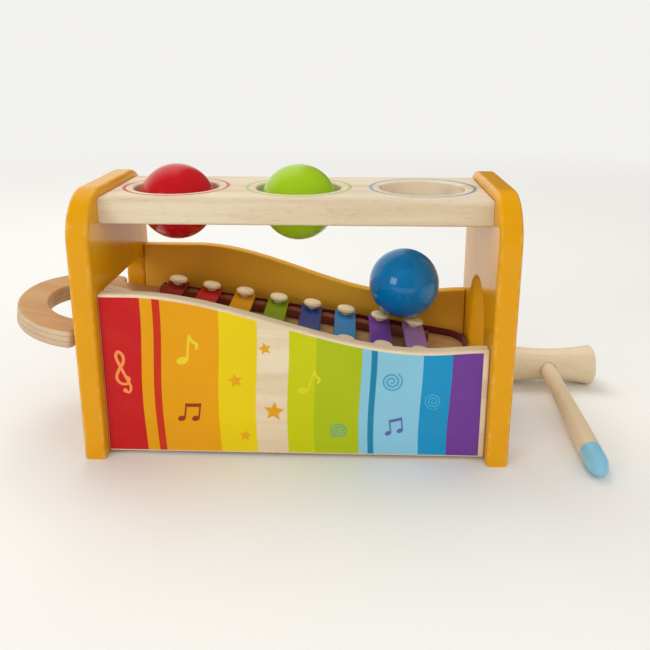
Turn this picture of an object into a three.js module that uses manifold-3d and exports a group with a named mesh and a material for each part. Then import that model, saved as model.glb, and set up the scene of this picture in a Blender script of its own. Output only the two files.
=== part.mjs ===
// Ball pounding bench with a slide-out xylophone, three balls and a mallet.
// Millimetres, +Z up. +X points to the low end of the xylophone, +Y to the back of the bench.
import * as THREE from 'three';
import { mergeVertices } from 'three/addons/utils/BufferGeometryUtils.js';
import Module from 'manifold-3d';

const wasm = await Module();
wasm.setup();

// Bench: two side panels, a top board, and a front and a back panel with a wave on top
const benchLength = 248;
const benchDepth = 118;
const benchHeight = 158;
const panelThickness = 13;
const panelCornerRadius = 28;
const panelEdgeRound = 2.6;
const glueGap = 0.1;

const boardThickness = 15.5;
const boardSetBack = 20;
const boardBelowPanelTop = 5;
const boardEdgeRound = 1.6;

const wallThickness = 8;
const wallSetBack = 6;
const wallAboveFloor = 2.5;
const wallEdgeRound = 1.2;
const waveHigh = 100.5;
const waveDrop = 32.5;
const waveEndRise = 2;
const waveStartFromPanel = 17;
const waveEndFromPanel = 36;
const backWaveHigh = 104.5;
const backWaveDrop = 33.5;
const backWaveEndRise = 3;
const backWaveStartFromPanel = 37;
const backWaveEndFromPanel = 42;
const waveSteps = 30;

// Openings in the side panels
const slotSideClearance = 2;
const slotSill = 30;
const slotTop = 97.5;
const slotCornerRadius = 11;
const archBallClearance = 3.5;
const archApex = 96;
const archFootSpread = 4.5;

// Balls and the rubber rings that hold them in the board
const ballDiameter = 46;
const outerHoleFromPanel = 36.5;
const holeClearance = 5;
const holeRimRound = 1.5;
const ringSection = 4;
const ringBite = 0.2;
const ringClearance = 0.3;
const ballSeatGap = 0.15;

// Wood screws through the side panels
const screwHeadDiameter = 7.5;
const screwHeadDepth = 2.6;
const screwShankDiameter = 3.6;
const screwLength = 32;
const screwClearance = 0.3;
const screwHeadRecess = 0.4;
const boardScrewFromEdge = 9;
const footScrewHeight = 18;

// Xylophone: one board that widens into a ring handle outside the slot, lying on two sloping rails
const slopeAngle = THREE.MathUtils.degToRad(9.2);
const handleReach = 50.5;
const baseSideClearance = 1;
const baseThickness = 11;
const baseEdgeRound = 1.8;
const baseLowEndTop = 40;
const baseCornerRadius = 14;
const baseStopGap = 0.3;
const handleFlare = 10.5;
const handleNeckGap = 0.6;
const handleNeckLength = 4.5;
const handleSideLength = 2;
const gripEndBand = 17.5;
const gripSideBand = 20.5;
const railWidth = 9;
const railHeight = 10;
const railGap = 0.3;

// Tone bars, the felt under them and the pegs that hold them
const barCount = 8;
const barWidth = 14;
const barThickness = 3;
const barCornerRadius = 3;
const barPastPeg = 7.5;
const firstBarFromPanel = 25;
const lastBarFromEnd = 38.6;
const pegRowFromEdge = 11.5;
const pegRowTaper = 6.5;
const barHoleDiameter = 5.5;
const feltThickness = 5;
const feltWidth = 8;
const feltPastBar = 4;
const pieceGap = 0.3;
const pegCapDiameter = 12;
const pegCapHeight = 5;
const pegStemDiameter = 4;
const pegSocketDepth = 8;

// Mallet, lying on the floor beside the low end of the bench
const malletHeadLength = 66;
const malletHeadDiameter = 28;
const malletWaistDiameter = 22;
const malletHeadEndRound = 2.5;
const malletHandleLength = 136;
const malletHandleDiameter = 11;
const malletGripDiameter = 13;
const malletSocketDepth = 14;
const malletFromPanel = 16;
const malletFloorGap = 0.1;

// Worked-out sizes of the bench
const innerHalfLength = benchLength / 2 - panelThickness;
const wallOuterHalf = benchDepth / 2 - wallSetBack;
const wallInnerHalf = wallOuterHalf - wallThickness;
const wallMiddleHalf = (wallOuterHalf + wallInnerHalf) / 2;
const frontWave = {
  high: waveHigh,
  drop: waveDrop,
  endRise: waveEndRise,
  startFromPanel: waveStartFromPanel,
  endFromPanel: waveEndFromPanel,
};
const backWave = {
  high: backWaveHigh,
  drop: backWaveDrop,
  endRise: backWaveEndRise,
  startFromPanel: backWaveStartFromPanel,
  endFromPanel: backWaveEndFromPanel,
};
const boardDepth = benchDepth - 2 * boardSetBack;
const boardTop = benchHeight - boardBelowPanelTop;
const boardUnderside = boardTop - boardThickness;
const boardMiddle = (boardTop + boardUnderside) / 2;
const holePitch = innerHalfLength - outerHoleFromPanel;
const holeOffsets = [-holePitch, 0, holePitch];

// Worked-out sizes of the balls and their rings
const ballRadius = ballDiameter / 2;
const holeRadius = (ballDiameter + holeClearance) / 2;
const archRadius = ballRadius + archBallClearance;
const ringSectionRadius = ringSection / 2;
const ringRadius = ballRadius - ringBite + ringSectionRadius;
const ringPlane = boardUnderside + ringSectionRadius;
const seatReach = ballRadius + ringSectionRadius + ballSeatGap;
const ballSeatHeight = ringPlane + Math.sqrt(seatReach ** 2 - ringRadius ** 2);

// Worked-out sizes of the xylophone, measured along its own board
const lowEndX = innerHalfLength - baseStopGap;
const baseWidth = 2 * (wallInnerHalf - baseSideClearance);
const baseLength = (lowEndX + benchLength / 2 + handleReach) / Math.cos(slopeAngle);
const handleNeckX = -(lowEndX + benchLength / 2 + handleNeckGap) / Math.cos(slopeAngle);
const handleSideX = handleNeckX - handleNeckLength;
const handleCentre = handleSideX - handleSideLength;
const handleHalfLength = baseLength + handleCentre;
const handleHalfWidth = baseWidth / 2 + handleFlare;
const slotWidth = baseWidth + 2 * slotSideClearance;
const barTopAboveBase = feltThickness + pieceGap * 2 + barThickness;
const pegTopAboveBase = barTopAboveBase + pieceGap + pegCapHeight;
const firstBarX = firstBarFromPanel - (lowEndX + innerHalfLength) / Math.cos(slopeAngle);
const barPitch = (-lastBarFromEnd - firstBarX) / (barCount - 1);
const pegRowHighHalf = baseWidth / 2 - pegRowFromEdge;
const pegRowLowHalf = pegRowHighHalf - pegRowTaper;

const materials = {
  yellowPaint: new THREE.MeshStandardMaterial({ color: 0xf0ae12, roughness: 0.4, metalness: 0 }),
  paleWood: new THREE.MeshStandardMaterial({ color: 0xe8d6b4, roughness: 0.6, metalness: 0 }),
  wallWood: new THREE.MeshStandardMaterial({ color: 0xe2a93c, roughness: 0.55, metalness: 0 }),
  plywood: new THREE.MeshStandardMaterial({ color: 0xcfa677, roughness: 0.6, metalness: 0 }),
  redLacquer: new THREE.MeshStandardMaterial({ color: 0xc4141c, roughness: 0.2, metalness: 0 }),
  greenLacquer: new THREE.MeshStandardMaterial({ color: 0x9cc41e, roughness: 0.2, metalness: 0 }),
  blueLacquer: new THREE.MeshStandardMaterial({ color: 0x0a78b4, roughness: 0.2, metalness: 0 }),
  rubber: new THREE.MeshStandardMaterial({ color: 0xd8d2c4, roughness: 0.8, metalness: 0 }),
  steel: new THREE.MeshStandardMaterial({ color: 0xb9bcc0, roughness: 0.35, metalness: 1 }),
  felt: new THREE.MeshStandardMaterial({ color: 0x8a5c2e, roughness: 0.95, metalness: 0 }),
};

const barColours = [0x8e1018, 0xc8202a, 0xd99a12, 0x7f9a1c, 0x1d3f86, 0x3f93c8, 0x7a4fa0, 0xb48cc8];

// A closed mesh with shared corners and no collapsed triangles
function closed(geometry) {
  const bare = new THREE.BufferGeometry();
  bare.setAttribute('position', geometry.getAttribute('position').clone());
  if (geometry.index) bare.setIndex(geometry.index.clone());
  const merged = mergeVertices(bare, 1e-4);
  const corners = merged.index.array;
  const kept = [];
  for (let i = 0; i < corners.length; i += 3) {
    const [a, b, c] = [corners[i], corners[i + 1], corners[i + 2]];
    if (a !== b && b !== c && c !== a) kept.push(a, b, c);
  }
  merged.setIndex(kept);
  return merged;
}

function toSolid(geometry) {
  const mesh = closed(geometry);
  return new wasm.Manifold(new wasm.Mesh({
    numProp: 3,
    vertProperties: new Float32Array(mesh.getAttribute('position').array),
    triVerts: new Uint32Array(mesh.index.array),
  }));
}

function cut(geometry, tools) {
  let solid = toSolid(geometry);
  for (const tool of tools) solid = solid.subtract(toSolid(tool));
  const mesh = solid.getMesh();
  const result = new THREE.BufferGeometry();
  result.setAttribute('position', new THREE.BufferAttribute(mesh.vertProperties, 3));
  result.setIndex(new THREE.BufferAttribute(mesh.triVerts, 1));
  return result;
}

function addPiece(parent, name, geometry, material) {
  const body = closed(geometry);
  body.computeVertexNormals();
  const mesh = new THREE.Mesh(body, material);
  mesh.name = name;
  parent.add(mesh);
  return mesh;
}

// A board cut from a flat outline, with its edges rounded over, lying from z = 0 to its thickness
function roundedBoard(outline, thickness, edgeRound, curveSegments = 6, bevelSegments = 2) {
  const geometry = new THREE.ExtrudeGeometry(outline, {
    depth: thickness - 2 * edgeRound,
    bevelEnabled: true,
    bevelSize: edgeRound,
    bevelOffset: -edgeRound,
    bevelThickness: edgeRound,
    bevelSegments,
    curveSegments,
  });
  return geometry.translate(0, 0, edgeRound);
}

function plainBoard(outline, thickness, curveSegments = 4) {
  return new THREE.ExtrudeGeometry(outline, { depth: thickness, bevelEnabled: false, curveSegments });
}

// Stands an outline drawn in depth and height across the bench's length
function standAcross(geometry) {
  const basis = new THREE.Matrix4().makeBasis(
    new THREE.Vector3(0, 1, 0), new THREE.Vector3(0, 0, 1), new THREE.Vector3(1, 0, 0));
  return geometry.applyMatrix4(basis);
}

// Stands an outline drawn in length and height along the bench, its thickness towards the front
function standAlong(geometry) {
  return geometry.rotateX(Math.PI / 2);
}

function roundedRectangle(path, halfWidth, low, high, radius) {
  path.moveTo(-halfWidth + radius, low);
  path.lineTo(halfWidth - radius, low);
  path.absarc(halfWidth - radius, low + radius, radius, -Math.PI / 2, 0, false);
  path.absarc(halfWidth - radius, high - radius, radius, 0, Math.PI / 2, false);
  path.absarc(-halfWidth + radius, high - radius, radius, Math.PI / 2, Math.PI, false);
  path.absarc(-halfWidth + radius, low + radius, radius, Math.PI, 1.5 * Math.PI, false);
  return path;
}

function turned(profile, segments) {
  return new THREE.LatheGeometry(profile.map(([r, h]) => new THREE.Vector2(r, h)), segments);
}

// Side panels

function panelTopCorners(outline) {
  const half = benchDepth / 2;
  const cornerHeight = benchHeight - panelCornerRadius;
  outline.absarc(half - panelCornerRadius, cornerHeight, panelCornerRadius, 0, Math.PI / 2, false);
  outline.absarc(-half + panelCornerRadius, cornerHeight, panelCornerRadius, Math.PI / 2, Math.PI, false);
}

function slottedPanelOutline() {
  const half = benchDepth / 2;
  const outline = new THREE.Shape();
  outline.moveTo(-half, 0);
  outline.lineTo(half, 0);
  panelTopCorners(outline);
  outline.closePath();
  outline.holes.push(roundedRectangle(new THREE.Path(), slotWidth / 2, slotSill, slotTop, slotCornerRadius));
  return outline;
}

function archedPanelOutline() {
  const half = benchDepth / 2;
  const footHalf = archRadius + archFootSpread;
  const springLine = archApex - archRadius;
  const outline = new THREE.Shape();
  outline.moveTo(-half, 0);
  outline.lineTo(-footHalf, 0);
  outline.lineTo(-archRadius, springLine);
  outline.absarc(0, springLine, archRadius, Math.PI, 0, true);
  outline.lineTo(footHalf, 0);
  outline.lineTo(half, 0);
  panelTopCorners(outline);
  outline.closePath();
  return outline;
}

// A countersunk screw along +X, its head face at x = 0; grow widens it into its own pilot hole
function screwShape(grow) {
  const head = screwHeadDiameter / 2 + grow;
  const shank = screwShankDiameter / 2 + grow;
  const profile = [
    [0, -grow],
    [head, -grow],
    [head, screwHeadRecess],
    [shank, screwHeadDepth + grow],
    [shank, screwLength + grow],
    [0, screwLength + 2 * grow],
  ];
  return turned(profile, 12).rotateZ(-Math.PI / 2);
}

// Head centre and inward direction of each screw: two into the board and one into each wall per side
const screwPlaces = [];
for (const side of [-1, 1]) {
  const sideName = side < 0 ? 'left' : 'right';
  for (const back of [-1, 1]) {
    const depthName = back < 0 ? 'front' : 'back';
    screwPlaces.push({
      name: `screw_${sideName}_top_${depthName}`,
      side,
      y: back * (boardDepth / 2 - boardScrewFromEdge),
      z: boardMiddle,
    });
    screwPlaces.push({
      name: `screw_${sideName}_foot_${depthName}`,
      side,
      y: back * wallMiddleHalf,
      z: footScrewHeight,
    });
  }
}

function placedScrew(place, grow) {
  const geometry = screwShape(grow);
  if (place.side > 0) geometry.rotateZ(Math.PI);
  const headFace = place.side * (benchLength / 2 - screwHeadRecess);
  return geometry.translate(headFace, place.y, place.z);
}

// The bore for a screw also opens the panel's outer face over the sunk head
function screwBores(places) {
  const bores = [];
  for (const place of places) {
    bores.push(placedScrew(place, screwClearance));
    const mouthRadius = screwHeadDiameter / 2 + screwClearance;
    const mouthLength = 2 * screwHeadRecess + screwClearance;
    const mouth = new THREE.CylinderGeometry(mouthRadius, mouthRadius, mouthLength, 12);
    mouth.rotateZ(Math.PI / 2);
    bores.push(mouth.translate(place.side * benchLength / 2, place.y, place.z));
  }
  return bores;
}

function buildSidePanels(bench) {
  const slotted = standAcross(roundedBoard(slottedPanelOutline(), panelThickness, panelEdgeRound));
  slotted.translate(-benchLength / 2, 0, 0);
  const leftBores = screwBores(screwPlaces.filter((place) => place.side < 0));
  addPiece(bench, 'left_panel', cut(slotted, leftBores), materials.yellowPaint);

  const arched = standAcross(roundedBoard(archedPanelOutline(), panelThickness, panelEdgeRound));
  arched.translate(benchLength / 2 - panelThickness, 0, 0);
  const rightBores = screwBores(screwPlaces.filter((place) => place.side > 0));
  addPiece(bench, 'right_panel', cut(arched, rightBores), materials.yellowPaint);
}

// Top board with its three ball holes

// The hole is stepped: a wider rebate below for the rubber ring, and a rounded rim on top
function ballHole() {
  const rebateRadius = ringRadius + ringSectionRadius + ringClearance;
  const rebateTop = ringPlane + ringSectionRadius + ringClearance;
  const past = 1;
  const rimSteps = 2;
  const profile = [
    [0, boardUnderside - past],
    [rebateRadius, boardUnderside - past],
    [rebateRadius, rebateTop],
    [holeRadius, rebateTop],
  ];
  for (let i = 0; i <= rimSteps; i += 1) {
    const turn = (i / rimSteps) * Math.PI / 2;
    const out = holeRimRound * (1 - Math.cos(turn));
    profile.push([holeRadius + out, boardTop - holeRimRound + holeRimRound * Math.sin(turn)]);
  }
  profile.push([holeRadius + holeRimRound, boardTop + past], [0, boardTop + past]);
  return turned(profile, 32).rotateX(Math.PI / 2);
}

function buildTopBoard(bench) {
  const halfLength = innerHalfLength - glueGap;
  const outline = new THREE.Shape();
  outline.moveTo(-halfLength, -boardDepth / 2);
  outline.lineTo(halfLength, -boardDepth / 2);
  outline.lineTo(halfLength, boardDepth / 2);
  outline.lineTo(-halfLength, boardDepth / 2);
  outline.closePath();
  const blank = roundedBoard(outline, boardThickness, boardEdgeRound).translate(0, 0, boardUnderside);
  const holes = holeOffsets.map((x) => ballHole().translate(x, 0, 0));
  const bores = screwPlaces
    .filter((place) => place.z === boardMiddle)
    .map((place) => placedScrew(place, screwClearance));
  addPiece(bench, 'top_board', cut(blank, [...holes, ...bores]), materials.paleWood);
}

function buildGripRings(bench) {
  ['left', 'middle', 'right'].forEach((name, i) => {
    const ring = new THREE.TorusGeometry(ringRadius, ringSectionRadius, 6, 30);
    ring.translate(holeOffsets[i], 0, ringPlane);
    addPiece(bench, `grip_ring_${name}`, ring, materials.rubber);
  });
}

// Front and back walls with the wave along their top edge

function smoothStep(t) {
  const s = Math.min(1, Math.max(0, t));
  return s * s * (3 - 2 * s);
}

function waveStart(wave) {
  return -innerHalfLength + wave.startFromPanel;
}

function waveHeight(x, wave) {
  const start = waveStart(wave);
  const end = innerHalfLength - wave.endFromPanel;
  const fall = wave.drop * smoothStep((x - start) / (end - start));
  const rise = wave.endRise * smoothStep((x - end) / (innerHalfLength - end));
  return wave.high - fall + rise;
}

function wallOutline(wave) {
  const half = innerHalfLength - glueGap;
  const outline = new THREE.Shape();
  outline.moveTo(-half, wallAboveFloor);
  outline.lineTo(half, wallAboveFloor);
  for (let i = 0; i <= waveSteps; i += 1) {
    const x = THREE.MathUtils.lerp(half, waveStart(wave), i / waveSteps);
    outline.lineTo(x, waveHeight(x, wave));
  }
  outline.lineTo(-half, wave.high);
  outline.closePath();
  return outline;
}

function buildWalls(bench) {
  for (const [name, back, wave] of [['front_wall', -1, frontWave], ['back_wall', 1, backWave]]) {
    const wall = standAlong(roundedBoard(wallOutline(wave), wallThickness, wallEdgeRound, 4, 1));
    wall.translate(0, back * wallMiddleHalf + wallThickness / 2, 0);
    const bores = screwPlaces
      .filter((place) => place.z === footScrewHeight && Math.sign(place.y) === back)
      .map((place) => placedScrew(place, screwClearance));
    addPiece(bench, name, cut(wall, bores), materials.wallWood);
  }
}

// Sloping rails, glued inside the two walls

function baseTopAt(x) {
  return baseLowEndTop + (lowEndX - x) * Math.tan(slopeAngle);
}

function buildRails(bench) {
  const half = innerHalfLength - glueGap;
  const belowTop = (baseThickness + railGap) / Math.cos(slopeAngle);
  const outline = new THREE.Shape();
  outline.moveTo(-half, baseTopAt(-half) - belowTop - railHeight);
  outline.lineTo(half, baseTopAt(half) - belowTop - railHeight);
  outline.lineTo(half, baseTopAt(half) - belowTop);
  outline.lineTo(-half, baseTopAt(-half) - belowTop);
  outline.closePath();
  for (const [name, back] of [['front_rail', -1], ['back_rail', 1]]) {
    const rail = standAlong(plainBoard(outline, railWidth));
    const middle = back * (wallInnerHalf - glueGap - railWidth / 2);
    addPiece(bench, name, rail.translate(0, middle + railWidth / 2, 0), materials.paleWood);
  }
}

function buildScrews(bench) {
  for (const place of screwPlaces) {
    addPiece(bench, place.name, placedScrew(place, 0), materials.steel);
  }
}

// Balls: two wait in their holes, the third has dropped onto the pegs of the last two bars
// and leans on the edge of the back wall. It is just high enough for the pegs to slide out under it.

function leaningPlace() {
  const place = new THREE.Vector3(-lastBarFromEnd - barPitch / 2, 0, pegTopAboveBase + ballRadius);
  place.applyAxisAngle(new THREE.Vector3(0, 1, 0), slopeAngle);
  place.add(new THREE.Vector3(lowEndX, 0, baseLowEndTop));
  const aboveEdge = place.z - waveHeight(place.x, backWave) + wallEdgeRound;
  const reach = ballRadius + wallEdgeRound + pieceGap;
  place.y = wallInnerHalf + wallEdgeRound - Math.sqrt(reach ** 2 - aboveEdge ** 2);
  return place;
}

function buildBalls(group) {
  const places = [
    ['red_ball', new THREE.Vector3(-holePitch, 0, ballSeatHeight), materials.redLacquer],
    ['green_ball', new THREE.Vector3(0, 0, ballSeatHeight), materials.greenLacquer],
    ['blue_ball', leaningPlace(), materials.blueLacquer],
  ];
  for (const [name, place, material] of places) {
    const ball = new THREE.SphereGeometry(ballRadius, 24, 14).rotateX(Math.PI / 2);
    addPiece(group, name, ball.translate(place.x, place.y, place.z), material);
  }
}

// Xylophone: local x runs along the board to its low end at 0, local z = 0 is the board's top face

function baseOutline() {
  const half = baseWidth / 2;
  const outline = new THREE.Shape();
  outline.moveTo(handleNeckX, -half);
  outline.lineTo(-baseCornerRadius, -half);
  outline.absarc(-baseCornerRadius, -half + baseCornerRadius, baseCornerRadius, -Math.PI / 2, 0, false);
  outline.absarc(-baseCornerRadius, half - baseCornerRadius, baseCornerRadius, 0, Math.PI / 2, false);
  outline.lineTo(handleNeckX, half);
  outline.quadraticCurveTo(handleNeckX, handleHalfWidth, handleSideX, handleHalfWidth);
  outline.absellipse(handleCentre, 0, handleHalfLength, handleHalfWidth, Math.PI / 2, 1.5 * Math.PI, false);
  outline.lineTo(handleSideX, -handleHalfWidth);
  outline.quadraticCurveTo(handleNeckX, -handleHalfWidth, handleNeckX, -half);
  const gripHalfLength = handleHalfLength - gripEndBand;
  const gripHalfWidth = handleHalfWidth - gripSideBand;
  const grip = new THREE.Path();
  grip.absellipse(handleCentre, 0, gripHalfLength, gripHalfWidth, 0, 2 * Math.PI, false);
  outline.holes.push(grip);
  return outline;
}

function barX(i) {
  return firstBarX + i * barPitch;
}

// The peg rows draw together towards the short bars
function pegRowHalf(x) {
  const along = (x - firstBarX) / ((barCount - 1) * barPitch);
  return THREE.MathUtils.lerp(pegRowHighHalf, pegRowLowHalf, along);
}

function pegPlaces() {
  const places = [];
  for (let i = 0; i < barCount; i += 1) {
    for (const [rowName, row] of [['front', -1], ['back', 1]]) {
      places.push({ name: `peg_${rowName}_${i + 1}`, x: barX(i), y: row * pegRowHalf(barX(i)) });
    }
  }
  return places;
}

function buildBase(xylophone) {
  const board = roundedBoard(baseOutline(), baseThickness, baseEdgeRound, 10, 1);
  board.translate(0, 0, -baseThickness);
  const socketRadius = pegStemDiameter / 2 + pieceGap;
  const past = 1;
  const sockets = pegPlaces().map((place) => {
    const socket = new THREE.CylinderGeometry(socketRadius, socketRadius, pegSocketDepth + past, 8);
    return socket.rotateX(Math.PI / 2).translate(place.x, place.y, (past - pegSocketDepth) / 2);
  });
  addPiece(xylophone, 'xylophone_base', cut(board, sockets), materials.plywood);
}

// Each felt strip follows its peg row, with a hole round every peg stem
function buildFelts(xylophone) {
  const start = firstBarX - barWidth / 2 - feltPastBar;
  const end = -lastBarFromEnd + barWidth / 2 + feltPastBar;
  const stemHole = pegStemDiameter / 2 + pieceGap;
  for (const [name, row] of [['front_felt', -1], ['back_felt', 1]]) {
    const inner = -feltWidth / 2;
    const outer = feltWidth / 2;
    const corners = [
      [start, row * pegRowHalf(start) + inner],
      [end, row * pegRowHalf(end) + inner],
      [end, row * pegRowHalf(end) + outer],
      [start, row * pegRowHalf(start) + outer],
    ];
    const outline = new THREE.Shape(corners.map(([x, y]) => new THREE.Vector2(x, y)));
    for (const place of pegPlaces()) {
      if (Math.sign(place.y) === row) {
        const hole = new THREE.Path();
        hole.absarc(place.x, place.y, stemHole, 0, 2 * Math.PI, false);
        outline.holes.push(hole);
      }
    }
    addPiece(xylophone, name, plainBoard(outline, feltThickness).translate(0, 0, pieceGap), materials.felt);
  }
}

function buildBars(xylophone) {
  for (let i = 0; i < barCount; i += 1) {
    const rowHalf = pegRowHalf(barX(i));
    const halfLength = rowHalf + barPastPeg;
    const outline = new THREE.Shape();
    roundedRectangle(outline, barWidth / 2, -halfLength, halfLength, barCornerRadius);
    for (const row of [-1, 1]) {
      const hole = new THREE.Path();
      hole.absarc(0, row * rowHalf, barHoleDiameter / 2, 0, 2 * Math.PI, false);
      outline.holes.push(hole);
    }
    const bar = plainBoard(outline, barThickness, 3);
    bar.translate(barX(i), 0, feltThickness + 2 * pieceGap);
    const paint = new THREE.MeshStandardMaterial({ color: barColours[i], roughness: 0.3, metalness: 0.6 });
    addPiece(xylophone, `tone_bar_${i + 1}`, bar, paint);
  }
}

// A mushroom peg: round stem, flat underside of the cap, softly domed top
function pegShape() {
  const cap = pegCapDiameter / 2;
  const stem = pegStemDiameter / 2;
  const capUnder = barTopAboveBase + pieceGap;
  const capRound = 1.6;
  const crown = 0.5;
  const capTop = pegTopAboveBase;
  const profile = [
    [0, pieceGap - pegSocketDepth],
    [stem, pieceGap - pegSocketDepth],
    [stem, capUnder],
    [cap, capUnder],
    [cap, capTop - capRound - crown],
    [cap - capRound / 3, capTop - capRound / 2 - crown / 2],
    [cap - capRound, capTop - crown],
    [0, capTop],
  ];
  return turned(profile, 10).rotateX(Math.PI / 2);
}

function buildPegs(xylophone) {
  for (const place of pegPlaces()) {
    addPiece(xylophone, place.name, pegShape().translate(place.x, place.y, 0), materials.paleWood);
  }
}

function buildXylophone(group) {
  const xylophone = new THREE.Group();
  xylophone.rotation.y = slopeAngle;
  xylophone.position.set(lowEndX, 0, baseLowEndTop);
  buildBase(xylophone);
  buildFelts(xylophone);
  buildBars(xylophone);
  buildPegs(xylophone);
  group.add(xylophone);
}

// Mallet: a spool-shaped head on its side, with the handle sloping down to the floor

function malletHeadProfile() {
  const half = malletHeadLength / 2;
  const rim = malletHeadDiameter / 2;
  const waist = malletWaistDiameter / 2;
  const profile = [[0, -half], [rim - malletHeadEndRound, -half]];
  const steps = 10;
  for (let i = 0; i <= steps; i += 1) {
    const t = (2 * i) / steps - 1;
    profile.push([waist + (rim - waist) * t * t, t * (half - malletHeadEndRound)]);
  }
  profile.push([rim - malletHeadEndRound, half], [0, half]);
  return profile;
}

// The handle swells a little towards its grip and ends in a round knob; it grows along +Y
function malletHandleProfile() {
  const neck = malletHandleDiameter / 2;
  const grip = malletGripDiameter / 2;
  const start = malletWaistDiameter / 2 - malletSocketDepth;
  const end = start + malletHandleLength;
  const swellStart = malletHeadDiameter;
  const profile = [[0, start], [neck, start], [neck, swellStart]];
  profile.push([grip, end - 2 * grip]);
  const steps = 4;
  for (let i = 1; i <= steps; i += 1) {
    const turn = (i / steps) * Math.PI / 2;
    profile.push([grip * Math.cos(turn), end - grip + grip * Math.sin(turn)]);
  }
  return profile;
}

function buildMallet(group) {
  const mallet = new THREE.Group();
  const rim = malletHeadDiameter / 2;
  const grip = malletGripDiameter / 2;
  const reach = malletWaistDiameter / 2 - malletSocketDepth + malletHandleLength - 2 * grip;
  const tilt = Math.asin((rim - grip) / reach);

  const head = turned(malletHeadProfile(), 24).rotateZ(Math.PI / 2);
  const socketRadius = malletHandleDiameter / 2 + pieceGap;
  const past = 2;
  const socketBottom = malletWaistDiameter / 2 - malletSocketDepth - pieceGap;
  const socketTop = malletHeadDiameter / 2 + past;
  const socket = new THREE.CylinderGeometry(socketRadius, socketRadius, socketTop - socketBottom, 20);
  socket.translate(0, (socketTop + socketBottom) / 2, 0);
  addPiece(mallet, 'mallet_head', cut(head, [socket]), materials.paleWood);
  addPiece(mallet, 'mallet_handle', turned(malletHandleProfile(), 20), materials.paleWood);

  const overallLength = rim + reach + 2 * grip;
  mallet.rotation.set(-Math.PI + tilt, 0, 0);
  const x = benchLength / 2 + malletFromPanel + malletHeadLength / 2;
  mallet.position.set(x, overallLength / 2 - rim, rim + malletFloorGap);
  group.add(mallet);
}

// The whole toy, with its origin at the middle of its footprint on the floor

function buildToy() {
  const toy = new THREE.Group();
  const bench = new THREE.Group();
  buildSidePanels(bench);
  buildTopBoard(bench);
  buildGripRings(bench);
  buildWalls(bench);
  buildRails(bench);
  buildScrews(bench);
  toy.add(bench);
  buildBalls(toy);
  buildXylophone(toy);
  buildMallet(toy);
  toy.updateMatrixWorld(true);
  const footprint = new THREE.Box3().setFromObject(toy, true);
  const middle = footprint.getCenter(new THREE.Vector3());
  toy.position.set(-middle.x, -middle.y, -footprint.min.z);
  return toy;
}

export default buildToy();
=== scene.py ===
import math

import bmesh
import bpy
from mathutils import Matrix, Vector, noise


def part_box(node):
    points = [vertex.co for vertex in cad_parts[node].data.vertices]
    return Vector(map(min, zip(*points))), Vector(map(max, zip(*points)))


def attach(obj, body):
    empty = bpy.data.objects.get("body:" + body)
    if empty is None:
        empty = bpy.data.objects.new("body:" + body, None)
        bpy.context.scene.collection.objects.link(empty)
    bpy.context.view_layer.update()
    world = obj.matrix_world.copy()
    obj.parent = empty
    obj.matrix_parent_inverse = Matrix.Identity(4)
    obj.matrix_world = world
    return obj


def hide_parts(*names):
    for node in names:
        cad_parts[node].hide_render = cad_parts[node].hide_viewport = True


# Ball pounding bench with a slide-out xylophone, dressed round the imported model.
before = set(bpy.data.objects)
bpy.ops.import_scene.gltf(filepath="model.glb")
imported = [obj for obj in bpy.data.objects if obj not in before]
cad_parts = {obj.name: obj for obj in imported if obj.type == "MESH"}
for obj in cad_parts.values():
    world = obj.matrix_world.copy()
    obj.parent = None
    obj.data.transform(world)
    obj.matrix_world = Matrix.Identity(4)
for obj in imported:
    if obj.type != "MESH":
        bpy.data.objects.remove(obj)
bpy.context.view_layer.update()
scene = bpy.context.scene

# Sizes of the bench in millimetres, as in the part's source
MM = 0.001
BENCH_LENGTH = 248
BENCH_DEPTH = 118
BENCH_HEIGHT = 158
PANEL_THICKNESS = 13
PANEL_CORNER_RADIUS = 28
PANEL_EDGE_ROUND = 2.6
GLUE_GAP = 0.1
BOARD_THICKNESS = 15.5
BOARD_DEPTH = 78
BOARD_TOP = 153
BOARD_EDGE_ROUND = 1.6
WALL_THICKNESS = 8
WALL_OUTER = 53
WALL_LOW_EDGE = 2.5
WALL_EDGE_ROUND = 1.2
WAVES = {
    "front_wall": {"High Edge": 100.5, "Drop": 32.5, "Fall Start": -94.0, "Fall End": 75.0, "End Rise": 2.0},
    "back_wall": {"High Edge": 104.5, "Drop": 33.5, "Fall Start": -74.0, "Fall End": 69.0, "End Rise": 3.0},
}
SLOT_HALF_WIDTH = 46
SLOT_SILL = 30
SLOT_TOP = 97.5
SLOT_CORNER_RADIUS = 11
ARCH_RADIUS = 26.5
ARCH_SPRING_LINE = 69.5
ARCH_FOOT_HALF = 31
RAIL_WIDTH = 9
RAIL_HEIGHT = 10
RAIL_GAP = 0.3
RAIL_EDGE_ROUND = 0.8

# Sizes of the balls, holes, rubber rings and screws
BALL_RADIUS = 23
HOLE_PITCH = 74.5
HOLE_RADIUS = 25.5
GRIP_RING_RADIUS = 24.8
GRIP_RING_SECTION = 2
GRIP_RING_CLEARANCE = 0.3
PAINTED_RING_RADIUS = 31.2
PAINTED_RING_HALF_WIDTH = 1.0
SCREW_HEAD_RADIUS = 3.75
SCREW_SHANK_RADIUS = 1.8
SCREW_HEAD_DEPTH = 2.6
SCREW_LENGTH = 32
SCREW_RECESS = 0.4
SCREW_CLEARANCE = 0.3
TOP_SCREW_Y = 30
TOP_SCREW_Z = 145.25
FOOT_SCREW_Y = 49
FOOT_SCREW_Z = 18

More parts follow.
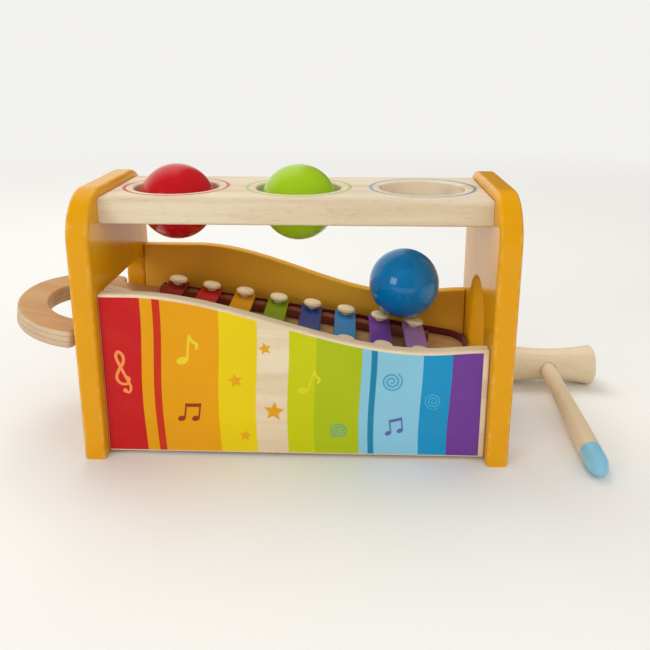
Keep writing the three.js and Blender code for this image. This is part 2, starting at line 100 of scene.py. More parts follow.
# Sizes of the xylophone and the mallet
SLOPE = math.radians(9.2)
LOW_END_X = 110.7
BASE_LOW_END_TOP = 40
BASE_THICKNESS = 11
BASE_HALF_WIDTH = 44
BASE_EDGE_ROUND = 1.8
BASE_CORNER_RADIUS = 14
HANDLE_REACH = 50.5
HANDLE_FLARE = 10.5
HANDLE_NECK_GAP = 0.6
HANDLE_NECK_LENGTH = 4.5
HANDLE_SIDE_LENGTH = 2
GRIP_END_BAND = 17.5
GRIP_SIDE_BAND = 20.5
BAR_COUNT = 8
BAR_WIDTH = 14
BAR_THICKNESS = 3
BAR_CORNER_RADIUS = 3
BAR_PAST_PEG = 7.5
BAR_HOLE_RADIUS = 2.75
LAST_BAR_X = -38.6
FIRST_BAR_FROM_PANEL = 25
PEG_ROW_HIGH = 32.5
PEG_ROW_LOW = 26
PEG_CAP_RADIUS = 6
PEG_CAP_HEIGHT = 5
PEG_STEM_RADIUS = 2
PEG_SOCKET_DEPTH = 8
FELT_THICKNESS = 5
FELT_WIDTH = 8
FELT_PAST_BAR = 4
EDGING_INSET = 1.4
EDGING_THICKNESS = 1.8
EDGING_HEIGHT = 4.6
EDGING_ROUND = 0.4
PIECE_GAP = 0.3
MALLET_HEAD_LENGTH = 66
MALLET_HEAD_RADIUS = 14
MALLET_WAIST_RADIUS = 11
MALLET_END_ROUND = 2.5
MALLET_HANDLE_LENGTH = 136
MALLET_HANDLE_RADIUS = 5.5
MALLET_GRIP_RADIUS = 6.5
MALLET_SOCKET_DEPTH = 14
MALLET_TIP_LENGTH = 22
MALLET_FROM_PANEL = 16
MALLET_FLOOR_GAP = 0.1

# Worked-out places
INNER_HALF = BENCH_LENGTH / 2 - PANEL_THICKNESS
WALL_INNER = WALL_OUTER - WALL_THICKNESS
BOARD_UNDERSIDE = BOARD_TOP - BOARD_THICKNESS
HOLE_PLACES = (-HOLE_PITCH, 0, HOLE_PITCH)
BASE_LENGTH = (LOW_END_X + BENCH_LENGTH / 2 + HANDLE_REACH) / math.cos(SLOPE)
HANDLE_NECK_X = -(LOW_END_X + BENCH_LENGTH / 2 + HANDLE_NECK_GAP) / math.cos(SLOPE)
HANDLE_CENTRE = HANDLE_NECK_X - HANDLE_NECK_LENGTH - HANDLE_SIDE_LENGTH
HANDLE_HALF_LENGTH = BASE_LENGTH + HANDLE_CENTRE
HANDLE_HALF_WIDTH = BASE_HALF_WIDTH + HANDLE_FLARE
FIRST_BAR_X = FIRST_BAR_FROM_PANEL - (LOW_END_X + INNER_HALF) / math.cos(SLOPE)
BAR_PITCH = (LAST_BAR_X - FIRST_BAR_X) / (BAR_COUNT - 1)
BAR_UNDERSIDE = FELT_THICKNESS + 2 * PIECE_GAP
PEG_CAP_UNDERSIDE = BAR_UNDERSIDE + BAR_THICKNESS + PIECE_GAP

left_low, left_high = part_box("left_panel")
right_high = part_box("right_panel")[1]
bench_middle = Vector(((left_low.x + right_high.x) / 2, (left_low.y + left_high.y) / 2, 0))

# Spaces that take millimetres on the bench, the xylophone or the mallet into the shared frame
bench_space = Matrix.Translation(bench_middle) @ Matrix.Scale(MM, 4)
xylophone_space = (
    bench_space
    @ Matrix.Translation((LOW_END_X, 0, BASE_LOW_END_TOP))
    @ Matrix.Rotation(SLOPE, 4, "Y")
)
handle_reach = MALLET_WAIST_RADIUS - MALLET_SOCKET_DEPTH + MALLET_HANDLE_LENGTH - 2 * MALLET_GRIP_RADIUS
mallet_tilt = math.asin((MALLET_HEAD_RADIUS - MALLET_GRIP_RADIUS) / handle_reach)
mallet_length = MALLET_HEAD_RADIUS + handle_reach + 2 * MALLET_GRIP_RADIUS
mallet_place = (
    BENCH_LENGTH / 2 + MALLET_FROM_PANEL + MALLET_HEAD_LENGTH / 2,
    mallet_length / 2 - MALLET_HEAD_RADIUS,
    MALLET_HEAD_RADIUS + MALLET_FLOOR_GAP,
)
mallet_space = (
    bench_space
    @ Matrix.Translation(mallet_place)
    @ Matrix.Rotation(mallet_tilt - math.pi, 4, "X")
)
across = Matrix(((0, 0, 1, 0), (1, 0, 0, 0), (0, 1, 0, 0), (0, 0, 0, 1)))
along = Matrix.Rotation(math.pi / 2, 4, "X")
ORIGIN = (0, 0, 0)
UNTURNED = (0, 0, 0)
WHOLE = (1, 1, 1)

# Tones and depths that several finishes use
ROOM_WHITE = "F3F2EE"
THIN_PAINT = "F0D9A0"
MALLET_TONES = ("EEDDC0", "D5BC92")
GRAIN_DEPTH = 0.0002
BALL_GLOSS = 0.75
PANEL_GLOSS = 0.22


# Node trees


class Nodes:
    """A node tree that is filled by short calls."""

    def __init__(self, tree):
        self.tree = tree

    def feed(self, socket, value):
        if isinstance(value, bpy.types.NodeSocket):
            self.tree.links.new(value, socket)
        else:
            socket.default_value = value

    def add(self, kind, inputs=None, **settings):
        node = self.tree.nodes.new(kind)
        for name, value in settings.items():
            setattr(node, name, value)
        for name, value in (inputs or {}).items():
            self.feed(node.inputs[name], value)
        return node

    def sum(self, operation, *values):
        node = self.add("ShaderNodeMath", operation=operation)
        for socket, value in zip(node.inputs, values):
            self.feed(socket, value)
        return node.outputs[0]

    def mix(self, share, first, second):
        node = self.add("ShaderNodeMix", data_type="RGBA")
        self.feed(node.inputs[0], share)
        self.feed(node.inputs[6], first)
        self.feed(node.inputs[7], second)
        return node.outputs[2]

    def blend(self, share, first, second):
        node = self.add("ShaderNodeMix", data_type="FLOAT")
        self.feed(node.inputs[0], share)
        self.feed(node.inputs[2], first)
        self.feed(node.inputs[3], second)
        return node.outputs[0]

    def rise(self, value, low, high, curve="SMOOTHSTEP"):
        """0 below low, 1 above high."""
        inputs = {"Value": value, "From Min": low, "From Max": high}
        return self.add("ShaderNodeMapRange", inputs, interpolation_type=curve).outputs[0]

    def stretch(self, coordinates, scale, turn=UNTURNED):
        inputs = {"Vector": coordinates, "Scale": scale, "Rotation": turn}
        return self.add("ShaderNodeMapping", inputs).outputs[0]

    def noise(self, coordinates, scale=1.0, detail=2.0, roughness=0.5):
        inputs = {"Vector": coordinates, "Scale": scale, "Detail": detail, "Roughness": roughness}
        return self.add("ShaderNodeTexNoise", inputs).outputs[0]

    def split(self, vector):
        return self.add("ShaderNodeSeparateXYZ", {"Vector": vector}).outputs

    def steps(self, value, stops):
        """Plain bands of colour that start at the given places from 0 to 1."""
        node = self.add("ShaderNodeValToRGB", {"Fac": value})
        node.color_ramp.interpolation = "CONSTANT"
        bands = node.color_ramp.elements
        bands.remove(bands[1])
        for i, (start, digits) in enumerate(stops):
            band = bands.new(start) if i else bands[0]
            band.color = colour(digits)
        return node.outputs[0]


def new_tree(name, kind, inputs, outputs):
    """A node group with named sockets, its filler, its inputs and its outputs."""
    tree = bpy.data.node_groups.new(name, kind)
    for direction, sockets in (("INPUT", inputs), ("OUTPUT", outputs)):
        for socket_name, socket_type in sockets.items():
            tree.interface.new_socket(
                name=socket_name, in_out=direction, socket_type="NodeSocket" + socket_type
            )
    nodes = Nodes(tree)
    source = nodes.add("NodeGroupInput").outputs
    sink = nodes.add("NodeGroupOutput").inputs
    return nodes, source, sink


def colour(digits):
    """Six hex digits as the linear colour that shaders take."""
    parts = [int(digits[i:i + 2], 16) / 255 for i in (0, 2, 4)]
    return (*[c / 12.92 if c <= 0.04045 else ((c + 0.055) / 1.055) ** 2.4 for c in parts], 1.0)


# Effects that several finishes share


def wood_figure_effect():
    """Fine straight grain along X: soft bands, fibres and short dark flecks."""
    inputs = {"Coordinates": "Vector", "Light": "Color", "Dark": "Color"}
    outputs = {"Colour": "Color", "Roughness": "Float", "Height": "Float"}
    nodes, source, sink = new_tree("wood_figure", "ShaderNodeTree", inputs, outputs)
    place = source["Coordinates"]
    band_scale = (5, 70, 70)
    fibre_scale = (45, 900, 900)
    fleck_scale = (160, 1300, 1300)
    band_weight = 0.55
    fibre_weight = 0.27
    fleck_weight = 0.3
    bands = nodes.rise(nodes.noise(nodes.stretch(place, band_scale), detail=3), 0.35, 0.68)
    fibres = nodes.noise(nodes.stretch(place, fibre_scale), detail=2)
    flecks = nodes.rise(nodes.noise(nodes.stretch(place, fleck_scale), detail=1), 0.6, 0.72)
    share = nodes.sum("MULTIPLY_ADD", bands, band_weight, nodes.sum("MULTIPLY", fibres, fibre_weight))
    share = nodes.sum("MULTIPLY_ADD", flecks, fleck_weight, share)
    nodes.feed(sink["Colour"], nodes.mix(share, source["Light"], source["Dark"]))
    nodes.feed(sink["Roughness"], nodes.sum("MULTIPLY_ADD", fibres, 0.25, 0.4))
    nodes.feed(sink["Height"], nodes.sum("MULTIPLY_ADD", flecks, -0.6, fibres))
    return nodes.tree


def paint_film_effect():
    """A brushed lacquer film: slight mottling, a faint ripple, thinner along rounded edges."""
    inputs = {"Coordinates": "Vector", "Paint": "Color", "Thin": "Color", "Edge": "Float"}
    outputs = {"Colour": "Color", "Roughness": "Float", "Height": "Float"}
    nodes, source, sink = new_tree("paint_film", "ShaderNodeTree", inputs, outputs)
    place = source["Coordinates"]
    cloud_scale = 28
    ripple_scale = 420
    grain_scale = (60, 700, 60)
    patch_scale = 150
    worn_weight = 0.35
    grain_weight = 0.03
    cloud = nodes.noise(place, cloud_scale, detail=3)
    ripple = nodes.noise(place, ripple_scale, detail=2)
    grain = nodes.noise(nodes.stretch(place, grain_scale), detail=2)
    patches = nodes.rise(nodes.noise(place, patch_scale, detail=3), 0.42, 0.66)
    worn = nodes.sum("MULTIPLY", source["Edge"], patches)
    thin_share = nodes.sum("MULTIPLY_ADD", worn, worn_weight, nodes.sum("MULTIPLY", grain, grain_weight))
    shade = nodes.add("ShaderNodeHueSaturation", {"Color": source["Paint"]})
    nodes.feed(shade.inputs["Value"], nodes.sum("MULTIPLY_ADD", cloud, 0.16, 0.92))
    nodes.feed(sink["Colour"], nodes.mix(thin_share, shade.outputs[0], source["Thin"]))
    nodes.feed(sink["Roughness"], nodes.sum("MULTIPLY_ADD", cloud, 0.16, 0.16))
    nodes.feed(sink["Height"], nodes.sum("MULTIPLY_ADD", grain, 0.5, ripple))
    return nodes.tree


def brushed_metal_effect():
    """Fine lines along X with a few longer marks."""
    inputs = {"Coordinates": "Vector", "Paint": "Color"}
    outputs = {"Colour": "Color", "Roughness": "Float", "Height": "Float"}
    nodes, source, sink = new_tree("brushed_metal", "ShaderNodeTree", inputs, outputs)
    place = source["Coordinates"]
    line_scale = (40, 4200, 4200)
    mark_scale = (25, 500, 500)
    lines = nodes.noise(nodes.stretch(place, line_scale), detail=3)
    marks = nodes.noise(nodes.stretch(place, mark_scale), detail=2)
    shade = nodes.add("ShaderNodeHueSaturation", {"Color": source["Paint"]})
    nodes.feed(shade.inputs["Value"], nodes.sum("MULTIPLY_ADD", lines, 0.05, 0.975))
    nodes.feed(sink["Colour"], shade.outputs[0])
    nodes.feed(sink["Roughness"], nodes.sum("MULTIPLY_ADD", marks, 0.1, 0.2))
    nodes.feed(sink["Height"], lines)
    return nodes.tree


wood_figure = wood_figure_effect()
paint_film = paint_film_effect()
brushed_metal = brushed_metal_effect()


# Finishes


class Finish(Nodes):
    """A material with one shader, read from Object coordinates."""

    def __init__(self, name):
        self.material = bpy.data.materials.new(name)
        self.material.use_nodes = True
        super().__init__(self.material.node_tree)
        self.shader = self.tree.nodes["Principled BSDF"]
        self.place = self.add("ShaderNodeTexCoord").outputs["Object"]

    def effect(self, group, **inputs):
        return self.add("ShaderNodeGroup", inputs, node_tree=group).outputs

    def figure(self, place, light, dark):
        """Wood grain in two tones."""
        return self.effect(wood_figure, Coordinates=place, Light=colour(light), Dark=colour(dark))

    def film(self, paint, thin, edge=0.0):
        """Brushed paint that thins to a second tone along worn edges."""
        return self.effect(paint_film, Coordinates=self.place, Paint=paint, Thin=colour(thin), Edge=edge)

    def turned(self, location, turn=UNTURNED):
        """Coordinates measured from a place, along axes turned with a piece."""
        inputs = {"Vector": self.place, "Location": location, "Rotation": turn}
        return self.add("ShaderNodeMapping", inputs, vector_type="TEXTURE").outputs[0]

    def set(self, **constants):
        for name, value in constants.items():
            self.shader.inputs[name.replace("_", " ")].default_value = value

    def surface(self, tint, roughness, height, depth, strength=0.3):
        self.feed(self.shader.inputs["Base Color"], tint)
        self.feed(self.shader.inputs["Roughness"], roughness)
        bump = self.add("ShaderNodeBump", {"Height": height, "Distance": depth, "Strength": strength})
        self.feed(self.shader.inputs["Normal"], bump.outputs[0])
        return self.material


def wood_finish(name, light, dark, turn=UNTURNED):
    finish = Finish(name)
    figure = finish.figure(finish.turned(ORIGIN, turn), light, dark)
    return finish.surface(figure["Colour"], figure["Roughness"], figure["Height"], GRAIN_DEPTH)


def paint_finish(name, paint, thin, gloss):
    finish = Finish(name)
    edge = finish.add("ShaderNodeAttribute", attribute_name="edge").outputs["Fac"]
    film = finish.film(colour(paint), thin, edge)
    finish.set(Coat_Weight=gloss, Coat_Roughness=0.06, Specular_IOR_Level=0.1)
    return finish.surface(film["Colour"], film["Roughness"], film["Height"], 0.00012)


def board_finish():
    """Pale wood with a thin painted ring round each ball hole."""
    finish = Finish("pale_wood_with_rings")
    place = finish.turned(bench_middle)
    figure = finish.figure(place, "E9DABF", "CDB48E")
    x, y, z = finish.split(place)
    column = finish.sum("ROUND", finish.sum("DIVIDE", x, HOLE_PITCH * MM))
    from_hole = finish.sum("SUBTRACT", x, finish.sum("MULTIPLY", column, HOLE_PITCH * MM))
    flat = finish.add("ShaderNodeCombineXYZ", {"X": from_hole, "Y": y}).outputs[0]
    distance = finish.add("ShaderNodeVectorMath", {0: flat}, operation="LENGTH").outputs["Value"]
    offset = finish.sum("ABSOLUTE", finish.sum("SUBTRACT", distance, PAINTED_RING_RADIUS * MM))
    ring = finish.sum("LESS_THAN", offset, PAINTED_RING_HALF_WIDTH * MM)
    on_top = finish.sum("GREATER_THAN", z, (BOARD_TOP - 0.2) * MM)
    mask = finish.sum("MULTIPLY", ring, on_top)
    ring_place = finish.sum("MULTIPLY_ADD", column, 0.4, 0.5)
    ring_colour = finish.steps(ring_place, ((0, "BE2A30"), (0.3, "9DBB3A"), (0.7, "7E9DB4")))
    tint = finish.mix(mask, figure["Colour"], ring_colour)
    ring_roughness = 0.32
    roughness = finish.blend(mask, figure["Roughness"], ring_roughness)
    return finish.surface(tint, roughness, figure["Height"], GRAIN_DEPTH)


# Stripes of the walls: colour and the place along the bench where each one starts
STRIPES = (
    (-111, "C4141E"),
    (-88, "E29C0C"),
    (-81.5, "C62A14"),
    (-76.5, "E29C0C"),
    (-44, "E3C80C"),
    (-22, ""),
    (-3.5, "C3C60A"),
    (12, "A9BA12"),
    (38, "86C2DA"),
    (43.2, "0E7FA6"),
    (46, "86C2DA"),
    (72, "0A8EC2"),
    (88.5, "6C3A94"),
)
STRIPE_MARGIN = 1.7
STRIPE_END = 107.3
STRIPE_START = -110.2


def painted_height(finish, x, wave):
    """How far up the stripes reach below a wall's wave."""
    fall = finish.rise(x, wave["Fall Start"] * MM, wave["Fall End"] * MM)
    lift = finish.rise(x, wave["Fall End"] * MM, INNER_HALF * MM)
    height = finish.sum("MULTIPLY_ADD", fall, -wave["Drop"] * MM, (wave["High Edge"] - STRIPE_MARGIN) * MM)
    return finish.sum("MULTIPLY_ADD", lift, wave["End Rise"] * MM, height)


def wall_finish():
    """Painted stripes outside with bare wood along the edges, and yellow paint inside.

    The yellow goes over the top edge of the back wall; the front wall's top edge is bare.
    """
    finish = Finish("striped_wall")
    place = finish.turned(bench_middle)
    x, y, z = finish.split(place)
    depth = finish.sum("ABSOLUTE", y)
    figure = finish.figure(place, "ECDCC0", "D3BA92")
    waver_up = 62.0
    waver_along = 9.0
    waver_reach = 0.9 * MM
    turn = finish.sum("MULTIPLY_ADD", z, waver_up, finish.sum("MULTIPLY", x, waver_along))
    bent_x = finish.sum("MULTIPLY_ADD", finish.sum("SINE", turn), waver_reach, x)
    along_wall = finish.rise(bent_x, -INNER_HALF * MM, INNER_HALF * MM, "LINEAR")
    starts = [(start + INNER_HALF) / (2 * INNER_HALF) for start, _ in STRIPES]
    paints = [digits or "E3C80C" for _, digits in STRIPES]
    masks = ["FFFFFF" if digits else "000000" for _, digits in STRIPES]
    stripe_paint, stripe_mask = [finish.steps(along_wall, zip(starts, row)) for row in (paints, masks)]
    is_back = finish.sum("GREATER_THAN", y, 0.0)
    heights = [painted_height(finish, x, WAVES[name]) for name in ("front_wall", "back_wall")]
    inside = (
        finish.sum("LESS_THAN", z, finish.blend(is_back, *heights)),
        finish.sum("GREATER_THAN", z, (WALL_LOW_EDGE + WALL_EDGE_ROUND) * MM),
        finish.sum("GREATER_THAN", x, STRIPE_START * MM),
        finish.sum("LESS_THAN", x, STRIPE_END * MM),
        finish.sum("GREATER_THAN", depth, (WALL_OUTER - WALL_EDGE_ROUND / 2) * MM),
    )
    mask = stripe_mask
    for part in inside:
        mask = finish.sum("MULTIPLY", mask, part)
    yellow_depth = finish.blend(
        is_back, (WALL_INNER + WALL_EDGE_ROUND / 2) * MM, (WALL_OUTER - WALL_EDGE_ROUND / 2) * MM
    )
    inner = finish.sum("LESS_THAN", depth, yellow_depth)
    paint = finish.mix(inner, stripe_paint, colour("E8AC34"))
    covered = finish.sum("MAXIMUM", mask, inner)
    film = finish.film(paint, THIN_PAINT)
    tint = finish.mix(covered, figure["Colour"], film["Colour"])
    roughness = finish.blend(covered, figure["Roughness"], film["Roughness"])
    height = finish.blend(covered, figure["Height"], film["Height"])
    wall_gloss = 0.05
    finish.feed(finish.shader.inputs["Coat Weight"], finish.sum("MULTIPLY", covered, wall_gloss))
    finish.set(Coat_Roughness=0.08, Specular_IOR_Level=0.06)
    return finish.surface(tint, roughness, height, 0.00015)


def plywood_finish():
    """Face veneer, with the glue lines of the layers along the edge."""
    finish = Finish("plywood")
    origin = xylophone_space.to_translation()
    place = finish.turned(origin, (0, SLOPE, 0))
    face = finish.figure(place, "CFA472", "B2824C")
    edge = finish.figure(place, "DCC6AA", "C4A684")
    depth = finish.sum("MULTIPLY", finish.split(place)["Z"], -1 / MM)
    veneer = 0.5
    rounding = 1.3
    below_face = finish.rise(depth, veneer, rounding)
    layer_pitch = 3.3
    line_share = 0.14
    layer = finish.sum("FRACT", finish.sum("DIVIDE", depth, layer_pitch))
    pores = finish.noise(finish.stretch(place, (500, 500, 2500)), detail=2)
    glue = finish.sum("LESS_THAN", layer, finish.sum("MULTIPLY_ADD", pores, line_share, line_share / 2))
    glue = finish.sum("MULTIPLY", finish.sum("MULTIPLY", glue, below_face), 0.5)
    tint = finish.mix(below_face, face["Colour"], edge["Colour"])
    tint = finish.mix(glue, tint, colour("946A42"))
    bumps = finish.sum("MULTIPLY_ADD", glue, -0.8, face["Height"])
    finish.set(Specular_IOR_Level=0.3)
    return finish.surface(tint, face["Roughness"], bumps, GRAIN_DEPTH)


def bar_finish(name, digits):
    """Enamelled metal with fine lines across the bar."""
    finish = Finish(name)
    place = finish.turned(ORIGIN, (0, 0, math.pi / 2))
    metal = finish.effect(brushed_metal, Coordinates=place, Paint=colour(digits))
    finish.set(Metallic=0.15, Coat_Weight=0.15, Coat_Roughness=0.05, Specular_IOR_Level=0.15)
    return finish.surface(metal["Colour"], metal["Roughness"], metal["Height"], 0.00001)


def steel_finish():
    finish = Finish("zinc_steel")
    metal = finish.effect(brushed_metal, Coordinates=finish.place, Paint=colour("B4B6B8"))
    finish.set(Metallic=1.0)
    return finish.surface(metal["Colour"], metal["Roughness"], metal["Height"], 0.00005)


def felt_finish(name, dark, light):
    """Matted wool: clouded colour, fine tangled fibres and a soft sheen."""
    finish = Finish(name)
    tangle_scale = 2600
    cloud_scale = 220
    tangle = finish.noise(finish.place, tangle_scale, detail=4, roughness=0.7)
    cloud = finish.noise(finish.place, cloud_scale, detail=2)
    share = finish.sum("MULTIPLY_ADD", tangle, 0.8, finish.sum("MULTIPLY", cloud, 0.3))
    tint = finish.mix(share, colour(dark), colour(light))
    finish.set(Sheen_Weight=0.12, Sheen_Roughness=0.45)
    return finish.surface(tint, finish.sum("MULTIPLY_ADD", tangle, 0.1, 0.86), tangle, 0.0006, 0.7)


def rubber_finish():
    finish = Finish("rubber")
    haze_scale = 180
    dust_scale = 1500
    haze = finish.noise(finish.place, haze_scale, detail=3)
    dust = finish.noise(finish.place, dust_scale, detail=2)
    tint = finish.mix(haze, colour("D9D0BE"), colour("C4BAA6"))
    return finish.surface(tint, finish.sum("MULTIPLY_ADD", dust, 0.2, 0.55), dust, 0.0001)


def mallet_handle_finish(tip_start):
    """Turned wood with the grain along the handle, and a painted tip."""
    finish = Finish("mallet_handle_wood")
    place = finish.turned(mallet_space.to_translation(), mallet_space.to_euler())
    turned_place = finish.stretch(place, WHOLE, (0, 0, math.pi / 2))
    figure = finish.figure(turned_place, *MALLET_TONES)
    reach = finish.split(place)["Y"]
    tip = finish.sum("GREATER_THAN", reach, tip_start * MM)
    film = finish.film(colour("86C3DC"), "C9E2EA")
    tint = finish.mix(tip, figure["Colour"], film["Colour"])
    roughness = finish.blend(tip, figure["Roughness"], film["Roughness"])
    return finish.surface(tint, roughness, figure["Height"], 0.00015)


yellow_paint = paint_finish("yellow_paint", "E09C00", "F3CF7C", PANEL_GLOSS)
striped_wall = wall_finish()
pale_wood_with_rings = board_finish()
rail_wood = wood_finish("rail_wood", "E6D5B6", "C9AE84")
# Peg wood, paler than the other woods: partly painted light, standing in for the brighter light that falls
# on the caps inside the bench
peg_wood = wood_finish("peg_wood", "F9E8C4", "E8CE9C", (0, math.pi / 2, 0))
plywood = plywood_finish()
zinc_steel = steel_finish()
# Felt under the bars: its dark red-brown is partly painted shade, standing in for the shadow and red bounce
# light between the bars
brown_felt = felt_finish("brown_felt", "5E2410", "9C4E2A")
# Dark red felt for the strip round the base's rim: partly painted shade, the tone of the shadow line in the
# gap between base and walls
red_felt = felt_finish("red_felt", "45090A", "7C1E1A")
rubber = rubber_finish()


# Shapes


def evaluated_mesh(obj):
    """The object's finished mesh; the object itself is removed."""
    graph = bpy.context.evaluated_depsgraph_get()
    mesh = bpy.data.meshes.new_from_object(obj.evaluated_get(graph))
    bpy.data.objects.remove(obj)
    return mesh


def helper(mesh):
    obj = bpy.data.objects.new("helper", mesh)
    scene.collection.objects.link(obj)
    return obj


def tidy_mesh(mesh, weld=0.001):
    """Welds doubles and turns every face outwards."""
    shape = bmesh.new()
    shape.from_mesh(mesh)
    bmesh.ops.remove_doubles(shape, verts=shape.verts, dist=weld)
    bmesh.ops.dissolve_degenerate(shape, edges=shape.edges, dist=weld / 10)
    bmesh.ops.recalc_face_normals(shape, faces=shape.faces)
    shape.to_mesh(mesh)
    shape.free()
    return mesh


def mesh_from(shape):
    """A plain mesh with the faces of a bmesh, which is then freed."""
    mesh = bpy.data.meshes.new("shape")
    shape.to_mesh(mesh)
    shape.free()
    return mesh


def skin(shape, loops):
    """Faces between each loop of corners and the next."""
    count = len(loops[0])
    for first, second in zip(loops, loops[1:]):
        for j in range(count):
            k = (j + 1) % count
            shape.faces.new((first[j], first[k], second[k], second[j]))


def arc(x, y, radius, start, end, steps=16):
    points = []
    for i in range(steps + 1):
        turn = math.radians(start + (end - start) * i / steps)
        points.append((x + radius * math.cos(turn), y + radius * math.sin(turn)))
    return points


def circle(x, y, radius, steps=96):
    return arc(x, y, radius, 0, 360, steps)[:-1]


def board(outline, holes, thickness, edge_round):
    """A flat board with rounded edges, centred on its thickness, with a mark along the rounding."""
    curve = bpy.data.curves.new("outline", "CURVE")
    curve.dimensions = "2D"
    curve.fill_mode = "BOTH"
    curve.extrude = thickness / 2 - edge_round
    curve.bevel_depth = edge_round
    curve.bevel_resolution = 4
    curve.offset = -edge_round
    for points in (outline, *holes):
        spline = curve.splines.new("POLY")
        spline.points.add(len(points) - 1)
        for point, (x, y) in zip(spline.points, points):
            point.co = (x, y, 0, 1)
        spline.use_cyclic_u = True
    mesh = tidy_mesh(evaluated_mesh(helper(curve)))
    bpy.data.curves.remove(curve)
    edge = mesh.attributes.new("edge", "FLOAT", "POINT")
    for vertex, mark in zip(mesh.vertices, edge.data):
        along_round = (thickness / 2 - abs(vertex.co.z)) / edge_round
        mark.value = max(0.0, 1 - abs(2 * along_round - 1))
    return mesh


def turned(profile, segments):
    """A closed shape turned about Z from (radius, height) pairs that start and end on the axis."""
    shape = bmesh.new()
    rings = []
    for radius, height in profile:
        if radius == 0:
            rings.append([shape.verts.new((0, 0, height))])
            continue
        ring = []
        for i in range(segments):
            turn = 2 * math.pi * i / segments
            ring.append(shape.verts.new((radius * math.cos(turn), radius * math.sin(turn), height)))
        rings.append(ring)
    for low, high in zip(rings, rings[1:]):
        for i in range(segments):
            j = (i + 1) % segments
            corners = [low[i % len(low)], low[j % len(low)], high[j % len(high)], high[i % len(high)]]
            shape.faces.new(dict.fromkeys(corners))
    return tidy_mesh(mesh_from(shape))


def joined(meshes):
    shape = bmesh.new()
    for mesh in meshes:
        shape.from_mesh(mesh)
    return mesh_from(shape)


def moved(mesh, matrix):
    copy = mesh.copy()
    copy.transform(matrix)
    return copy


def cut(mesh, tools):
    """The mesh with all tools taken away."""
    body = helper(mesh)
    tool = helper(joined(tools))
    modifier = body.modifiers.new("cut", "BOOLEAN")
    modifier.solver = "EXACT"
    modifier.object = tool
    result = evaluated_mesh(body)
    bpy.data.objects.remove(tool)
    return tidy_mesh(result)


def close_tree(nodes, source, sink, parts, weld=0.0):
    """Ends a tree: its parts are joined, welded where asked, made real and painted."""
    whole = nodes.add("GeometryNodeJoinGeometry")
    for part in parts:
        nodes.feed(whole.inputs[0], part)
    if weld:
        whole = nodes.add("GeometryNodeMergeByDistance", {"Geometry": whole.outputs[0], "Distance": weld})
    whole = nodes.add("GeometryNodeRealizeInstances", {"Geometry": whole.outputs[0]})
    painted = nodes.add("GeometryNodeSetMaterial", {
        "Geometry": whole.outputs[0], "Material": source["Material"],
    })
    nodes.feed(sink["Geometry"], painted.outputs[0])
    return nodes.tree


def thicken(nodes, source, sink, sheet, direction):
    """Ends a tree: a sheet gets its thickness in one direction."""
    front = nodes.add("GeometryNodeExtrudeMesh", {
        "Mesh": sheet, "Offset": direction, "Offset Scale": source["Thickness"], "Individual": False,
    })
    back = nodes.add("GeometryNodeFlipFaces", {"Mesh": sheet})
    return close_tree(nodes, source, sink, [front.outputs["Mesh"], back.outputs[0]], weld=0.01)


def grow(tree, values, edge_round=0, edge_steps=2):
    """The plain mesh that a Geometry Nodes tree makes, with its edges rounded over."""
    obj = helper(bpy.data.meshes.new("grown"))
    modifier = obj.modifiers.new("shape", "NODES")
    modifier.node_group = tree
    for item in tree.interface.items_tree:
        if item.item_type == "SOCKET" and item.in_out == "INPUT":
            modifier[item.identifier] = values[item.name]
    if edge_round:
        bevel = obj.modifiers.new("round", "BEVEL")
        bevel.width = edge_round
        bevel.segments = edge_steps
        bevel.limit_method = "ANGLE"
        bevel.angle_limit = math.radians(40)
    return evaluated_mesh(obj)


def add_piece(name, mesh, space, body, nodes, materials=(), sharp=40):
    """Puts a mesh in place as a finished piece that stands for CAD nodes."""
    mesh.transform(space)
    mesh.name = name
    if materials:
        mesh.materials.clear()
        for material in materials:
            mesh.materials.append(material)
    mesh.shade_smooth()
    mesh.set_sharp_from_angle(angle=math.radians(sharp))
    source = helper(mesh)
    weighted = source.modifiers.new("normals", "WEIGHTED_NORMAL")
    weighted.keep_sharp = True
    obj = bpy.data.objects.new(name, evaluated_mesh(source))
    scene.collection.objects.link(obj)
    if nodes:
        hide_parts(*nodes)
    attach(obj, body)
    return obj


# Side panels, top board and rails


def screw_bore():
    """A screw's own shape grown by its clearance, head towards +X, its face at x = 0."""
    head = SCREW_HEAD_RADIUS + SCREW_CLEARANCE
    shank = SCREW_SHANK_RADIUS + SCREW_CLEARANCE
    profile = [
        (0, -SCREW_LENGTH - SCREW_CLEARANCE),
        (shank, -SCREW_LENGTH - SCREW_CLEARANCE),
        (shank, -SCREW_HEAD_DEPTH - SCREW_CLEARANCE),
        (head, -SCREW_RECESS),
        (head, SCREW_RECESS + 1),
        (0, SCREW_RECESS + 1),
    ]
    mesh = turned(profile, 32)
    mesh.transform(Matrix.Rotation(math.pi / 2, 4, "Y"))
    return mesh


def screw_bores(side, places):
    bore = screw_bore()
    turn = Matrix.Rotation(0 if side > 0 else math.pi, 4, "Z")
    face = side * (BENCH_LENGTH / 2 - SCREW_RECESS)
    return [moved(bore, Matrix.Translation((face, y, z)) @ turn) for y, z in places]


TOP_SCREWS = [(-TOP_SCREW_Y, TOP_SCREW_Z), (TOP_SCREW_Y, TOP_SCREW_Z)]
FOOT_SCREWS = [(-FOOT_SCREW_Y, FOOT_SCREW_Z), (FOOT_SCREW_Y, FOOT_SCREW_Z)]


def panel_top():
    half = BENCH_DEPTH / 2
    centre_y = half - PANEL_CORNER_RADIUS
    centre_z = BENCH_HEIGHT - PANEL_CORNER_RADIUS
    right = arc(centre_y, centre_z, PANEL_CORNER_RADIUS, 0, 90, 24)
    left = arc(-centre_y, centre_z, PANEL_CORNER_RADIUS, 90, 180, 24)
    return right + left


def rounded_rectangle(half_width, low, high, radius):
    side = half_width - radius
    points = arc(side, low + radius, radius, -90, 0, 12)
    points += arc(side, high - radius, radius, 0, 90, 12)
    points += arc(-side, high - radius, radius, 90, 180, 12)
    points += arc(-side, low + radius, radius, 180, 270, 12)
    return points


